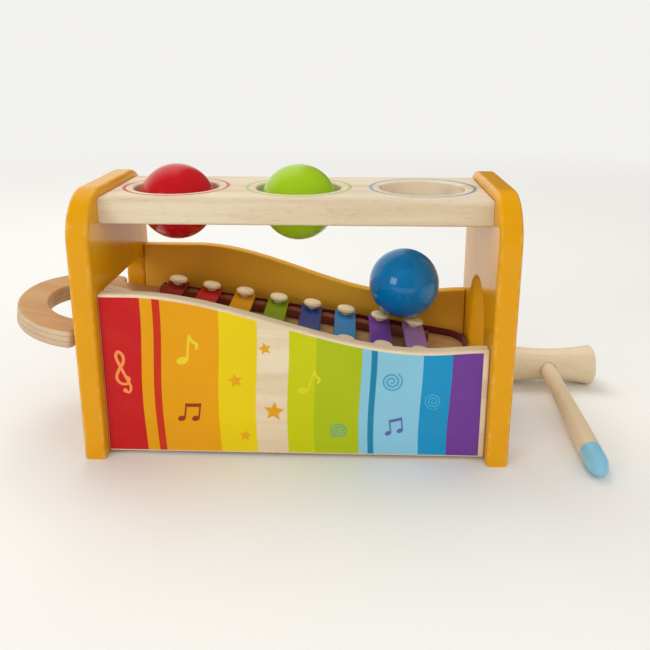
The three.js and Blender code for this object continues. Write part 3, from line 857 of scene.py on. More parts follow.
def add_side_panels():
    half = BENCH_DEPTH / 2
    slot = rounded_rectangle(SLOT_HALF_WIDTH, SLOT_SILL, SLOT_TOP, SLOT_CORNER_RADIUS)
    slotted = [(-half, 0), (half, 0), *panel_top()]
    arched = [(-half, 0), (-ARCH_FOOT_HALF, 0)]
    arched += arc(0, ARCH_SPRING_LINE, ARCH_RADIUS, 180, 0, 48)
    arched += [(ARCH_FOOT_HALF, 0), (half, 0), *panel_top()]
    middle = (BENCH_LENGTH - PANEL_THICKNESS) / 2
    for name, side, outline, holes in (
        ("left_panel", -1, slotted, [slot]),
        ("right_panel", 1, arched, []),
    ):
        mesh = board(outline, holes, PANEL_THICKNESS, PANEL_EDGE_ROUND)
        mesh.transform(Matrix.Translation((side * middle, 0, 0)) @ across)
        mesh = cut(mesh, screw_bores(side, TOP_SCREWS + FOOT_SCREWS))
        add_piece("dressed_" + name, mesh, bench_space, "bench", [name], [yellow_paint])


def add_top_board():
    half = INNER_HALF - GLUE_GAP
    depth = BOARD_DEPTH / 2
    outline = [(-half, -depth), (half, -depth), (half, depth), (-half, depth)]
    holes = [circle(x, 0, HOLE_RADIUS) for x in HOLE_PLACES]
    mesh = board(outline, holes, BOARD_THICKNESS, BOARD_EDGE_ROUND)
    mesh.transform(Matrix.Translation((0, 0, BOARD_TOP - BOARD_THICKNESS / 2)))
    rebate_radius = GRIP_RING_RADIUS + GRIP_RING_SECTION + GRIP_RING_CLEARANCE
    rebate_top = BOARD_UNDERSIDE + 2 * GRIP_RING_SECTION + GRIP_RING_CLEARANCE
    low = BOARD_UNDERSIDE - 1
    rebate = turned([(0, low), (rebate_radius, low), (rebate_radius, rebate_top), (0, rebate_top)], 96)
    tools = [moved(rebate, Matrix.Translation((x, 0, 0))) for x in HOLE_PLACES]
    tools += screw_bores(-1, TOP_SCREWS) + screw_bores(1, TOP_SCREWS)
    mesh = cut(mesh, tools)
    add_piece("dressed_top_board", mesh, bench_space, "bench", ["top_board"],
              [pale_wood_with_rings])


def base_top_at(x):
    return BASE_LOW_END_TOP + (LOW_END_X - x) * math.tan(SLOPE)


def add_rails():
    half = INNER_HALF - GLUE_GAP
    below = (BASE_THICKNESS + RAIL_GAP) / math.cos(SLOPE)
    outline = [(x, base_top_at(x) - below - drop)
               for x, drop in ((-half, RAIL_HEIGHT), (half, RAIL_HEIGHT), (half, 0), (-half, 0))]
    middle = WALL_INNER - GLUE_GAP - RAIL_WIDTH / 2
    for name, side in (("front_rail", -1), ("back_rail", 1)):
        mesh = board(outline, [], RAIL_WIDTH, RAIL_EDGE_ROUND)
        mesh.transform(Matrix.Translation((0, side * middle, 0)) @ along)
        add_piece("dressed_" + name, mesh, bench_space, "bench", [name], [rail_wood])


# Walls with a wave along the top, grown by one tree


def wave_wall_tree():
    """A sheet whose upper edge follows the wave, given its thickness towards -Y."""
    inputs = {
        "Length": "Float", "Thickness": "Float", "Low Edge": "Float", "High Edge": "Float",
        "Drop": "Float", "Fall Start": "Float", "Fall End": "Float", "End Rise": "Float",
        "Columns": "Int", "Material": "Material",
    }
    nodes, source, sink = new_tree("wave_wall", "GeometryNodeTree", inputs, {"Geometry": "Geometry"})
    grid = nodes.add("GeometryNodeMeshGrid", {
        "Size X": source["Length"], "Size Y": 1.0, "Vertices X": source["Columns"], "Vertices Y": 2,
    })
    x, y, _ = nodes.split(nodes.add("GeometryNodeInputPosition").outputs[0])
    fall = nodes.rise(x, source["Fall Start"], source["Fall End"])
    half = nodes.sum("MULTIPLY", source["Length"], 0.5)
    lift = nodes.rise(x, source["Fall End"], half)
    wave = nodes.sum("SUBTRACT", source["High Edge"], nodes.sum("MULTIPLY", fall, source["Drop"]))
    wave = nodes.sum("MULTIPLY_ADD", lift, source["End Rise"], wave)
    upper = nodes.sum("GREATER_THAN", y, 0.0)
    height = nodes.sum("SUBTRACT", wave, source["Low Edge"])
    z = nodes.sum("MULTIPLY_ADD", upper, height, source["Low Edge"])
    place = nodes.add("ShaderNodeCombineXYZ", {"X": x, "Z": z}).outputs[0]
    sheet = nodes.add("GeometryNodeSetPosition", {"Geometry": grid.outputs[0], "Position": place})
    return thicken(nodes, source, sink, sheet.outputs[0], (0, -1, 0))


def add_walls():
    tree = wave_wall_tree()
    values = {
        "Length": 2.0 * (INNER_HALF - GLUE_GAP), "Thickness": float(WALL_THICKNESS),
        "Low Edge": WALL_LOW_EDGE, "Columns": 121, "Material": striped_wall,
    }
    for name, side in (("front_wall", -1), ("back_wall", 1)):
        mesh = grow(tree, {**values, **WAVES[name]}, WALL_EDGE_ROUND, 3)
        inner_face = -WALL_INNER if side < 0 else WALL_OUTER
        mesh.transform(Matrix.Translation((0, inner_face, 0)))
        places = [place for place in FOOT_SCREWS if place[0] * side > 0]
        mesh = cut(tidy_mesh(mesh), screw_bores(-1, places) + screw_bores(1, places))
        add_piece("dressed_" + name, mesh, bench_space, "bench", [name], [striped_wall])


# Painted figures on the walls: music signs, stars and curls, each a thin film over the stripes

FILM_THICKNESS = 0.17
FILM_PROUD = 0.1
FILM_STEP = 0.015


def smooth_path(points, steps=8):
    """A curve that passes through the points."""
    last = len(points) - 1
    path = []
    for i in range(last):
        before, start, end, after = [Vector(points[min(max(k, 0), last)]) for k in range(i - 1, i + 3)]
        for j in range(steps):
            t = j / steps
            bend = 2 * before - 5 * start + 4 * end - after
            twist = 3 * start - before - 3 * end + after
            path.append((2 * start + (end - before) * t + bend * t * t + twist * t ** 3) / 2)
    path.append(Vector(points[last]))
    return path


class Figures:
    """Flat figures on the outside of one wall, drawn about their own middle in shares of their size."""

    def __init__(self, side):
        self.side = side
        self.shape = bmesh.new()
        self.tint = self.shape.verts.layers.float_color.new("tint")

    def start(self, digits, x, z, size, lean=0):
        self.lift = 0.0
        self.paint = colour(digits)
        self.size = size
        self.middle = Vector((x, z))
        self.lean = Matrix.Rotation(math.radians(lean), 2)

    def corner(self, point):
        """A corner in the wall's plane; from behind, a figure has to be drawn the other way round."""
        local = self.lean @ Vector(point) * self.size
        y = self.side * (WALL_OUTER + FILM_PROUD + self.lift - FILM_THICKNESS / 2)
        vertex = self.shape.verts.new((self.middle.x - self.side * local.x, y, self.middle.y + local.y))
        vertex[self.tint] = self.paint
        return vertex

    def patch(self, points):
        self.shape.faces.new([self.corner(point) for point in points])
        self.lift += FILM_STEP

    def blob(self, x, y, width, height, tilt=0):
        turn = Matrix.Rotation(math.radians(tilt), 2)
        middle = Vector((x, y))
        rim = [Vector((px * width / 2, py * height / 2)) for px, py in circle(0, 0, 1, 28)]
        self.patch([middle + turn @ point for point in rim])

    def stroke(self, points, width, thin_ends=0.4):
        path = smooth_path(points)
        last = len(path) - 1
        rows = []
        for i, point in enumerate(path):
            ahead = path[min(i + 1, last)] - path[max(i - 1, 0)]
            across_path = Vector((-ahead.y, ahead.x)).normalized()
            half = width / 2 * (1 - thin_ends * abs(2 * i / last - 1) ** 3)
            self.lift += FILM_STEP / last
            rows.append([self.corner(point + across_path * half), self.corner(point - across_path * half)])
        for first, second in zip(rows, rows[1:]):
            self.shape.faces.new((first[0], first[1], second[1], second[0]))

    def star(self, digits, x, z, radius, lean=0):
        self.start(digits, x, z, radius, lean)
        inner = 0.46
        tips = 5
        reach = [1 if i % 2 == 0 else inner for i in range(2 * tips)]
        turns = [math.pi / 2 + math.pi * i / tips for i in range(2 * tips)]
        self.patch([(r * math.cos(t), r * math.sin(t)) for r, t in zip(reach, turns)])

    def curl(self, digits, x, z, radius, lean=0):
        self.start(digits, x, z, radius, lean)
        turns = 2.6
        steps = 30
        points = []
        for i in range(steps + 1):
            share = i / steps
            reach = 0.08 + 0.92 * share
            turn = 2 * math.pi * turns * share
            points.append((reach * math.cos(turn), reach * math.sin(turn)))
        self.stroke(points, 0.17)

    def single_note(self, digits, x, z, height, lean=0):
        self.start(digits, x, z, height, lean)
        self.blob(-0.13, -0.38, 0.36, 0.24, 24)
        self.stroke([(0.02, -0.36), (0.02, 0.05), (0.02, 0.48)], 0.07, 0)
        self.stroke([(0.02, 0.46), (0.12, 0.29), (0.27, 0.2), (0.27, 0.02)], 0.11)

    def joined_notes(self, digits, x, z, height, lean=0):
        self.start(digits, x, z, height, lean)
        for head_x, head_y in ((-0.36, -0.4), (0.27, -0.3)):
            self.blob(head_x, head_y, 0.34, 0.25, 24)
            stem = head_x + 0.14
            self.stroke([(stem, head_y), (stem, head_y + 0.4), (stem, head_y + 0.78)], 0.07, 0)
        self.patch([(-0.255, 0.36), (-0.255, 0.2), (0.445, 0.31), (0.445, 0.47)])

    def clef(self, digits, x, z, height, lean=0):
        self.start(digits, x, z, height, lean)
        loop = [(0.03, -0.08), (0.11, -0.16), (0.03, -0.27), (-0.11, -0.22), (-0.15, -0.08), (-0.05, 0.08)]
        loop += [(0.09, 0.22), (0.13, 0.37), (0.06, 0.48), (-0.02, 0.38), (0.0, 0.16), (0.06, -0.18)]
        loop += [(0.08, -0.36), (0.01, -0.47), (-0.08, -0.42)]
        self.stroke(loop, 0.065)
        self.blob(-0.06, -0.41, 0.1, 0.1)

    def finished(self):
        obj = helper(mesh_from(self.shape))
        film = obj.modifiers.new("film", "SOLIDIFY")
        film.thickness = FILM_THICKNESS
        film.offset = 0
        return tidy_mesh(evaluated_mesh(obj))


def figure_finish():
    """Paint in each figure's own colour."""
    finish = Finish("painted_figures")
    tint = finish.add("ShaderNodeAttribute", attribute_name="tint").outputs["Color"]
    film = finish.film(tint, THIN_PAINT)
    finish.set(Specular_IOR_Level=0.15)
    return finish.surface(film["Colour"], film["Roughness"], film["Height"], 0.0001)


def add_figures():
    paint = figure_finish()
    for name, side in (("front_figures", -1), ("back_figures", 1)):
        figures = Figures(side)
        figures.clef("F2934E", -99.5, 53, 27, 14)
        figures.single_note("E6CC28", -61, 68, 19, -6)
        figures.joined_notes("8E3010", -61, 29, 13, -8)
        figures.star("DFA012", -34, 49, 4.6, 10)
        figures.star("DFA012", -29, 14, 3.6, -8)
        figures.star("DFA012", -16.5, 69, 3.9, 12)
        figures.star("DC9C10", -12, 30, 6.2, -6)
        figures.single_note("D8D018", 9, 49, 17, -18)
        figures.curl("5FA98C", 26, 18, 5.2, 30)
        figures.curl("4C9FC0", 56, 50, 6.2, 200)
        figures.joined_notes("5A62A8", 58, 22, 11, 6)
        figures.curl("3FA6CE", 80, 38, 5.2, 90)
        mesh = figures.finished()
        add_piece(name, mesh, bench_space, "bench", [], [paint], 30)


# Screws: one shape with a cross recess, set into both panels by one tree


def screw_shape():
    crown = 0.25
    profile = [
        (0, -SCREW_LENGTH),
        (0.5, -SCREW_LENGTH + 0.6),
        (SCREW_SHANK_RADIUS, -SCREW_LENGTH + 5),
        (SCREW_SHANK_RADIUS, -SCREW_HEAD_DEPTH),
        (SCREW_HEAD_RADIUS, -0.35),
        (SCREW_HEAD_RADIUS - 0.1, -0.1),
        (SCREW_HEAD_RADIUS * 0.6, crown * 0.5),
        (0, crown),
    ]
    mesh = turned(profile, 32)
    recess_length = 4.0
    recess_width = 0.85
    recess_depth = 1.5
    tools = []
    for turn in (0, math.pi / 2):
        shape = bmesh.new()
        bmesh.ops.create_cube(shape, size=1)
        for vertex in shape.verts:
            narrow = 1.0 if vertex.co.z > 0 else 0.45
            vertex.co.x *= recess_length * narrow
            vertex.co.y *= recess_width * narrow
            vertex.co.z = 1.0 if vertex.co.z > 0 else -recess_depth
        tool = mesh_from(shape)
        tool.transform(Matrix.Rotation(turn, 4, "Z"))
        mesh = cut(mesh, [tool])
    mesh.transform(Matrix.Rotation(math.pi / 2, 4, "Y"))
    return mesh


def place_copies(nodes, points, shape, rotation):
    return nodes.add("GeometryNodeInstanceOnPoints", {
        "Points": points, "Instance": shape, "Rotation": rotation,
    }).outputs[0]


def random_turn(nodes, axis, fixed, seed):
    """A rotation with a seeded free turn about one axis and fixed turns about the others."""
    free = nodes.add("FunctionNodeRandomValue", data_type="FLOAT")
    free.inputs[2].default_value = 0.0
    free.inputs[3].default_value = 2 * math.pi
    free.inputs["Seed"].default_value = seed
    turns = {**fixed, axis: free.outputs[1]}
    return nodes.add("ShaderNodeCombineXYZ", turns).outputs[0]


def line_of_points(nodes, count, start, end):
    inputs = {"Count": count, "Start Location": start, "Offset": end}
    return nodes.add("GeometryNodeMeshLine", inputs, mode="END_POINTS").outputs[0]


def screw_set_tree():
    """Two screws near the top and one in each foot, on both side panels."""
    inputs = {
        "Shape": "Object", "Head Face": "Float", "Top Half Spacing": "Float", "Top Height": "Float",
        "Foot Half Spacing": "Float", "Foot Height": "Float", "Material": "Material",
    }
    nodes, source, sink = new_tree("screw_set", "GeometryNodeTree", inputs, {"Geometry": "Geometry"})
    shape = nodes.add("GeometryNodeObjectInfo", {"Object": source["Shape"], "As Instance": True})
    parts = []
    for side, turn in ((1.0, 0.0), (-1.0, math.pi)):
        face = nodes.sum("MULTIPLY", source["Head Face"], side)
        for row in ("Top", "Foot"):
            spacing = source[row + " Half Spacing"]
            other = nodes.sum("MULTIPLY", spacing, -1.0)
            ends = [nodes.add("ShaderNodeCombineXYZ", {"X": face, "Y": y, "Z": source[row + " Height"]})
                    for y in (other, spacing)]
            points = line_of_points(nodes, 2, ends[0].outputs[0], ends[1].outputs[0])
            rotation = random_turn(nodes, "X", {"Z": turn}, 11 + len(parts))
            parts.append(place_copies(nodes, points, shape.outputs["Geometry"], rotation))
    return close_tree(nodes, source, sink, parts)


def add_screws():
    shape = helper(screw_shape())
    mesh = grow(screw_set_tree(), {
        "Shape": shape, "Head Face": BENCH_LENGTH / 2 - SCREW_RECESS - 0.1,
        "Top Half Spacing": float(TOP_SCREW_Y), "Top Height": TOP_SCREW_Z,
        "Foot Half Spacing": float(FOOT_SCREW_Y), "Foot Height": float(FOOT_SCREW_Z),
        "Material": zinc_steel,
    })
    bpy.data.objects.remove(shape)
    nodes = [f"screw_{side}_{row}_{depth}" for side in ("left", "right")
             for row in ("top", "foot") for depth in ("front", "back")]
    add_piece("screws", mesh, bench_space, "bench", nodes, [zinc_steel], 30)


# Rubber rings and balls


def add_grip_rings():
    around = 96
    section = 16
    rings = []
    for x in HOLE_PLACES:
        shape = bmesh.new()
        loops = []
        for i in range(around):
            turn = 2 * math.pi * i / around
            loop = []
            for j in range(section):
                roll = 2 * math.pi * j / section
                radius = GRIP_RING_RADIUS + GRIP_RING_SECTION * math.cos(roll)
                height = BOARD_UNDERSIDE + GRIP_RING_SECTION + GRIP_RING_SECTION * math.sin(roll)
                point = (x + radius * math.cos(turn), radius * math.sin(turn), height)
                loop.append(shape.verts.new(point))
            loops.append(loop)
        skin(shape, loops + loops[:1])
        rings.append(mesh_from(shape))
    nodes = [f"grip_ring_{name}" for name in ("left", "middle", "right")]
    add_piece("grip_rings", tidy_mesh(joined(rings)), bench_space, "bench", nodes, [rubber], 60)


def add_balls():
    """Turned balls with a tiny lathe mark at both ends of their axis."""
    steps = 56
    mark_depth = 0.2
    mark_angle = 0.05
    profile = []
    for i in range(steps + 1):
        angle = math.pi * i / steps
        near_end = min(angle, math.pi - angle)
        reach = BALL_RADIUS - mark_depth * math.exp(-(near_end / mark_angle) ** 2)
        radius = 0 if i in (0, steps) else reach * math.sin(angle)
        profile.append((radius, -reach * math.cos(angle)))
    finishes = {
        "red_ball": ("red_lacquer", "C4141C", "D8363A", (0.5, 0.9)),
        "green_ball": ("green_lacquer", "9EC418", "B2D23C", (-0.7, 0.6)),
        "blue_ball": ("blue_lacquer", "0080C6", "1C94D4", (0.4, -1.1)),
    }
    for name, (slot, paint, thin, turn) in finishes.items():
        low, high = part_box(name)
        centre = (low + high) / 2
        tilt = Matrix.Rotation(turn[0], 4, "X") @ Matrix.Rotation(turn[1], 4, "Y")
        space = Matrix.Translation(centre) @ tilt @ Matrix.Scale(MM, 4)
        material = paint_finish(slot, paint, thin, BALL_GLOSS)
        add_piece("turned_" + name, turned(profile, 96), space, name, [name], [material], 60)


# Xylophone: base board, felt, bars and pegs, measured along the board from its low end


def bar_x(i):
    return FIRST_BAR_X + i * BAR_PITCH


def peg_row(x):
    share = (x - FIRST_BAR_X) / (LAST_BAR_X - FIRST_BAR_X)
    return PEG_ROW_HIGH + (PEG_ROW_LOW - PEG_ROW_HIGH) * share


def handle_neck():
    """The curve from the board's side out to the widest place of the handle."""
    points = []
    steps = 12
    for i in range(steps):
        share = i / steps
        x = HANDLE_NECK_X - HANDLE_NECK_LENGTH * share ** 2
        points.append((x, BASE_HALF_WIDTH + HANDLE_FLARE * (1 - (1 - share) ** 2)))
    return points


def handle_ellipse(half_length, half_width, start, end, steps):
    return [(HANDLE_CENTRE + half_length * x, half_width * y) for x, y in arc(0, 0, 1, start, end, steps)]


def add_base():
    half = BASE_HALF_WIDTH
    corner = BASE_CORNER_RADIUS
    neck = handle_neck()
    outline = arc(-corner, -half + corner, corner, -90, 0)
    outline += arc(-corner, half - corner, corner, 0, 90)
    outline += neck + handle_ellipse(HANDLE_HALF_LENGTH, HANDLE_HALF_WIDTH, 90, 270, 64)
    outline += [(x, -y) for x, y in reversed(neck)]
    grip_length = HANDLE_HALF_LENGTH - GRIP_END_BAND
    grip_width = HANDLE_HALF_WIDTH - GRIP_SIDE_BAND
    grip = handle_ellipse(grip_length, grip_width, 0, 360, 96)[:-1]
    mesh = board(outline, [grip], BASE_THICKNESS, BASE_EDGE_ROUND)
    mesh.transform(Matrix.Translation((0, 0, -BASE_THICKNESS / 2)))
    radius = PEG_STEM_RADIUS + PIECE_GAP
    socket = turned([(0, -PEG_SOCKET_DEPTH), (radius, -PEG_SOCKET_DEPTH), (radius, 1), (0, 1)], 20)
    tools = [moved(socket, Matrix.Translation((bar_x(i), row * peg_row(bar_x(i)), 0)))
             for i in range(BAR_COUNT) for row in (-1, 1)]
    mesh = cut(mesh, tools)
    add_piece("dressed_base", mesh, xylophone_space, "xylophone", ["xylophone_base"], [plywood])


def felt_strip(row):
    """A strip pressed flat under the bars and swelling a little between them."""
    start = FIRST_BAR_X - BAR_WIDTH / 2 - FELT_PAST_BAR
    end = LAST_BAR_X + BAR_WIDTH / 2 + FELT_PAST_BAR
    stations = 240
    swell = 0.55
    rounding = 0.8
    fuzz = 0.14
    half_width = FELT_WIDTH / 2 - 0.15
    section = rounded_rectangle(half_width, 0, FELT_THICKNESS, rounding)
    shape = bmesh.new()
    loops = []
    for i in range(stations + 1):
        x = start + (end - start) * i / stations
        nearest = min(abs(x - bar_x(k)) for k in range(BAR_COUNT))
        share = min(1.0, max(0.0, (nearest - BAR_WIDTH / 2) / (BAR_PITCH / 2 - BAR_WIDTH / 2)))
        lift = swell * math.sin(share * math.pi / 2)
        loop = []
        for y, z in section:
            up = z / FELT_THICKNESS
            point = Vector((x, row * peg_row(x) + y * (1 + 0.03 * lift), PIECE_GAP + z + up * lift))
            ruffle = noise.noise_vector(point * 1.3) * fuzz
            ruffle.z = min(ruffle.z, 0.0) if share == 0 else ruffle.z
            loop.append(shape.verts.new(point + ruffle))
        loops.append(loop)
    skin(shape, loops)
    shape.faces.new(loops[0])
    shape.faces.new(loops[-1])
    return tidy_mesh(mesh_from(shape))


def add_felts():
    for name, row in (("front_felt", -1), ("back_felt", 1)):
        piece = add_piece("pressed_" + name, felt_strip(row), xylophone_space, "xylophone",
                          [name], [brown_felt], 60)


def base_rim(inset):
    """The line round the low end of the base, from the high side of the first bar at the front
    to the same place at the back, a little way in from the edge."""
    start = FIRST_BAR_X - BAR_PITCH / 2
    half = BASE_HALF_WIDTH - inset
    radius = BASE_CORNER_RADIUS - inset
    middle = BASE_HALF_WIDTH - BASE_CORNER_RADIUS
    line = [(start, -half)]
    line += arc(-BASE_CORNER_RADIUS, -middle, radius, -90, 0)
    line += arc(-BASE_CORNER_RADIUS, middle, radius, 0, 90)
    line += [(start, half)]
    return line


def add_shadow_line_edging():
    """A thin felt strip that stands along the rim of the base inside the bench; its dark red is partly
    painted shade, standing in for the shadow line in the gap between the base and the walls.
    """
    outer = base_rim(EDGING_INSET)
    inner = base_rim(EDGING_INSET + EDGING_THICKNESS)
    mesh = board(outer + inner[::-1], [], EDGING_HEIGHT, EDGING_ROUND)
    mesh.transform(Matrix.Translation((0, 0, EDGING_HEIGHT / 2)))
    add_piece("felt_edging", mesh, xylophone_space, "xylophone", [], [red_felt], 60)


def tone_bar_tree():
    """A flat bar with round corners and a peg hole near each end."""
    inputs = {
        "Width": "Float", "Half Length": "Float", "Thickness": "Float", "Corner Radius": "Float",
        "Hole Radius": "Float", "Hole Place": "Float", "Material": "Material",
    }
    nodes, source, sink = new_tree("tone_bar", "GeometryNodeTree", inputs, {"Geometry": "Geometry"})
    length = nodes.sum("MULTIPLY", source["Half Length"], 2.0)
    blank = nodes.add("GeometryNodeCurvePrimitiveQuadrilateral", {
        "Width": source["Width"], "Height": length,
    })
    rounded = nodes.add("GeometryNodeFilletCurve", {
        "Curve": blank.outputs[0], "Count": 6, "Radius": source["Corner Radius"],
    }, mode="POLY")
    hole = nodes.add("GeometryNodeCurvePrimitiveCircle", {
        "Resolution": 24, "Radius": source["Hole Radius"],
    })
    outline = nodes.add("GeometryNodeJoinGeometry")
    nodes.feed(outline.inputs[0], rounded.outputs[0])
    for side in (-1.0, 1.0):
        y = nodes.sum("MULTIPLY", source["Hole Place"], side)
        place = nodes.add("ShaderNodeCombineXYZ", {"Y": y}).outputs[0]
        shifted = nodes.add("GeometryNodeTransform", {
            "Geometry": hole.outputs[0], "Translation": place,
        })
        nodes.feed(outline.inputs[0], shifted.outputs[0])
    sheet = nodes.add("GeometryNodeFillCurve", {"Curve": outline.outputs[0]}, mode="NGONS")
    return thicken(nodes, source, sink, sheet.outputs[0], (0, 0, 1))


BAR_COLOURS = ("8A0E16", "C01C26", "DC9C14", "7C9A18", "163C8C", "2C88C6", "7A48AA", "B58ACF")


def add_bars():
    tree = tone_bar_tree()
    for i, digits in enumerate(BAR_COLOURS):
        slot = f"bar_{i + 1}"
        material = bar_finish("enamel_" + slot, digits)
        row = peg_row(bar_x(i))
        mesh = grow(tree, {
            "Width": float(BAR_WIDTH), "Half Length": row + BAR_PAST_PEG,
            "Thickness": float(BAR_THICKNESS), "Corner Radius": float(BAR_CORNER_RADIUS),
            "Hole Radius": BAR_HOLE_RADIUS, "Hole Place": row, "Material": material,
        }, 0.5, 3)
        mesh.transform(Matrix.Translation((bar_x(i), 0, BAR_UNDERSIDE)))
        add_piece("enamelled_" + slot, tidy_mesh(mesh), xylophone_space, "xylophone",
                  [f"tone_{slot}"], [material])


def peg_shape():
    """A turned peg: stem, a collar that holds the bar, a cap with a softly domed top."""
    top = PEG_CAP_UNDERSIDE + PEG_CAP_HEIGHT
    rim = 1.7
    crown = 0.5
    collar_radius = 3.2
    collar_height = 1.5
    cap_low = PEG_CAP_UNDERSIDE + collar_height
    bottom = PIECE_GAP - PEG_SOCKET_DEPTH
    tip_bevel = 0.4
    profile = [(0, bottom), (PEG_STEM_RADIUS - tip_bevel, bottom), (PEG_STEM_RADIUS, bottom + tip_bevel)]
    profile += [(PEG_STEM_RADIUS, PEG_CAP_UNDERSIDE), (collar_radius, PEG_CAP_UNDERSIDE)]
    under_round = 0.8
    profile += [(collar_radius, cap_low), (PEG_CAP_RADIUS - under_round, cap_low + 0.15)]
    profile += [(PEG_CAP_RADIUS, cap_low + under_round)]
    for radius, height in arc(PEG_CAP_RADIUS - rim, top - crown - rim, rim, 0, 80, 8):
        profile.append((radius, height))
    profile += [(PEG_CAP_RADIUS * 0.4, top - crown * 0.25), (0, top)]
    return turned(profile, 36)


def peg_rows_tree():
    """Two rows of pegs that draw together towards the short bars."""
    inputs = {
        "Shape": "Object", "Count": "Int", "Row Start": "Float", "Row End": "Float",
        "Start Half Width": "Float", "End Half Width": "Float", "Material": "Material",
    }
    nodes, source, sink = new_tree("peg_rows", "GeometryNodeTree", inputs, {"Geometry": "Geometry"})
    shape = nodes.add("GeometryNodeObjectInfo", {"Object": source["Shape"], "As Instance": True})
    parts = []
    for side in (-1.0, 1.0):
        ends = []
        for end in ("Start", "End"):
            y = nodes.sum("MULTIPLY", source[end + " Half Width"], side)
            ends.append(nodes.add("ShaderNodeCombineXYZ", {"X": source["Row " + end], "Y": y}).outputs[0])
        points = line_of_points(nodes, source["Count"], *ends)
        rotation = random_turn(nodes, "Z", {}, 5 + len(parts))
        parts.append(place_copies(nodes, points, shape.outputs["Geometry"], rotation))
    return close_tree(nodes, source, sink, parts)


def add_pegs():
    shape = helper(peg_shape())
    mesh = grow(peg_rows_tree(), {
        "Shape": shape, "Count": BAR_COUNT, "Row Start": FIRST_BAR_X, "Row End": LAST_BAR_X,
        "Start Half Width": PEG_ROW_HIGH, "End Half Width": float(PEG_ROW_LOW), "Material": peg_wood,
    })
    bpy.data.objects.remove(shape)
    nodes = [f"peg_{row}_{i + 1}" for row in ("front", "back") for i in range(BAR_COUNT)]
    add_piece("pegs", mesh, xylophone_space, "xylophone", nodes, [peg_wood])


# Mallet


def add_mallet():
    half = MALLET_HEAD_LENGTH / 2
    end = half - MALLET_END_ROUND
    profile = [(0, -half)]
    profile += [(MALLET_HEAD_RADIUS - MALLET_END_ROUND + dx, -end + dz)
                for dx, dz in arc(0, 0, MALLET_END_ROUND, -90, -10, 8)]
    waist_steps = 40
    for i in range(1, waist_steps):
        share = 2 * i / waist_steps - 1
        swell = (MALLET_HEAD_RADIUS - MALLET_WAIST_RADIUS) * share * share
        profile.append((MALLET_WAIST_RADIUS + swell, share * end))
    profile += [(MALLET_HEAD_RADIUS - MALLET_END_ROUND + dx, end + dz)
                for dx, dz in arc(0, 0, MALLET_END_ROUND, 10, 90, 8)]
    profile += [(0, half)]
    head = turned(profile, 80)
    head.transform(Matrix.Rotation(math.pi / 2, 4, "Y"))
    to_handle = Matrix.Rotation(-math.pi / 2, 4, "X")
    low = MALLET_WAIST_RADIUS - MALLET_SOCKET_DEPTH
    radius = MALLET_HANDLE_RADIUS + PIECE_GAP
    socket = turned([(0, low - PIECE_GAP), (radius, low - PIECE_GAP), (radius, 20), (0, 20)], 40)
    socket.transform(to_handle)
    head = cut(head, [socket])
    head_wood = wood_finish("mallet_head_wood", *MALLET_TONES)
    add_piece("turned_mallet_head", head, mallet_space, "mallet",
              ["mallet_head"], [head_wood])

    top = low + MALLET_HANDLE_LENGTH
    grip = MALLET_GRIP_RADIUS
    profile = [(0, low), (MALLET_HANDLE_RADIUS - 0.6, low), (MALLET_HANDLE_RADIUS, low + 0.6)]
    swell_start = 2 * MALLET_HEAD_RADIUS
    swell_end = top - 2 * grip
    for i in range(25):
        share = i / 24
        ease = share * share * (3 - 2 * share)
        profile.append((MALLET_HANDLE_RADIUS + (grip - MALLET_HANDLE_RADIUS) * ease,
                        swell_start + (swell_end - swell_start) * share))
    profile += [(grip * x, swell_end + 2 * grip * y) for x, y in arc(0, 0, 1, 6, 84, 14)]
    profile += [(0, top)]
    handle = turned(profile, 48)
    handle.transform(to_handle)
    handle_wood = mallet_handle_finish(top - MALLET_TIP_LENGTH)
    add_piece("turned_mallet_handle", handle, mallet_space, "mallet",
              ["mallet_handle"], [handle_wood])


add_side_panels()
add_top_board()
add_rails()
add_walls()
add_figures()
add_screws()
add_grip_rings()
add_balls()
add_base()
add_felts()
add_shadow_line_edging()
add_bars()
add_pegs()
add_mallet()


# Floor, light and camera


ROOM_LIGHT = 0.68
AIM_HEIGHT = 0.08


def add_floor():
    reach = 12
    mesh = bpy.data.meshes.new("floor")
    corners = [(-reach, -reach, 0), (reach, -reach, 0), (reach, reach, 0), (-reach, reach, 0)]
    mesh.from_pydata(corners, [], [(0, 1, 2, 3)])
    finish = Finish("pale_floor")
    distance = finish.add("ShaderNodeVectorMath", {0: finish.place}, operation="LENGTH").outputs["Value"]
    fade_start = 0.45
    fade_end = 1.6
    far = finish.rise(distance, fade_start, fade_end)
    rays = finish.add("ShaderNodeLightPath").outputs
    left = finish.sum("SUBTRACT", 1.0, finish.rise(finish.split(finish.place)["X"], -0.1, 0.3))
    seen = finish.sum("MAXIMUM", rays["Is Camera Ray"], finish.sum("MULTIPLY", rays["Is Glossy Ray"], left))
    seen = finish.sum("MAXIMUM", seen, rays["Is Transmission Ray"])
    haze = finish.noise(finish.place, 3, detail=2)
    tint = finish.mix(haze, colour(ROOM_WHITE), colour("F0EEEA"))
    finish.surface(tint, 0.75, haze, 0.0001)
    glow = finish.add("ShaderNodeEmission", {"Color": colour(ROOM_WHITE), "Strength": 1.0})
    both = finish.add("ShaderNodeMixShader", {0: finish.sum("MULTIPLY", far, seen)})
    finish.feed(both.inputs[1], finish.shader.outputs[0])
    finish.feed(both.inputs[2], glow.outputs[0])
    finish.feed(finish.tree.nodes["Material Output"].inputs["Surface"], both.outputs[0])
    mesh.materials.append(finish.material)
    floor = bpy.data.objects.new("floor", mesh)
    scene.collection.objects.link(floor)


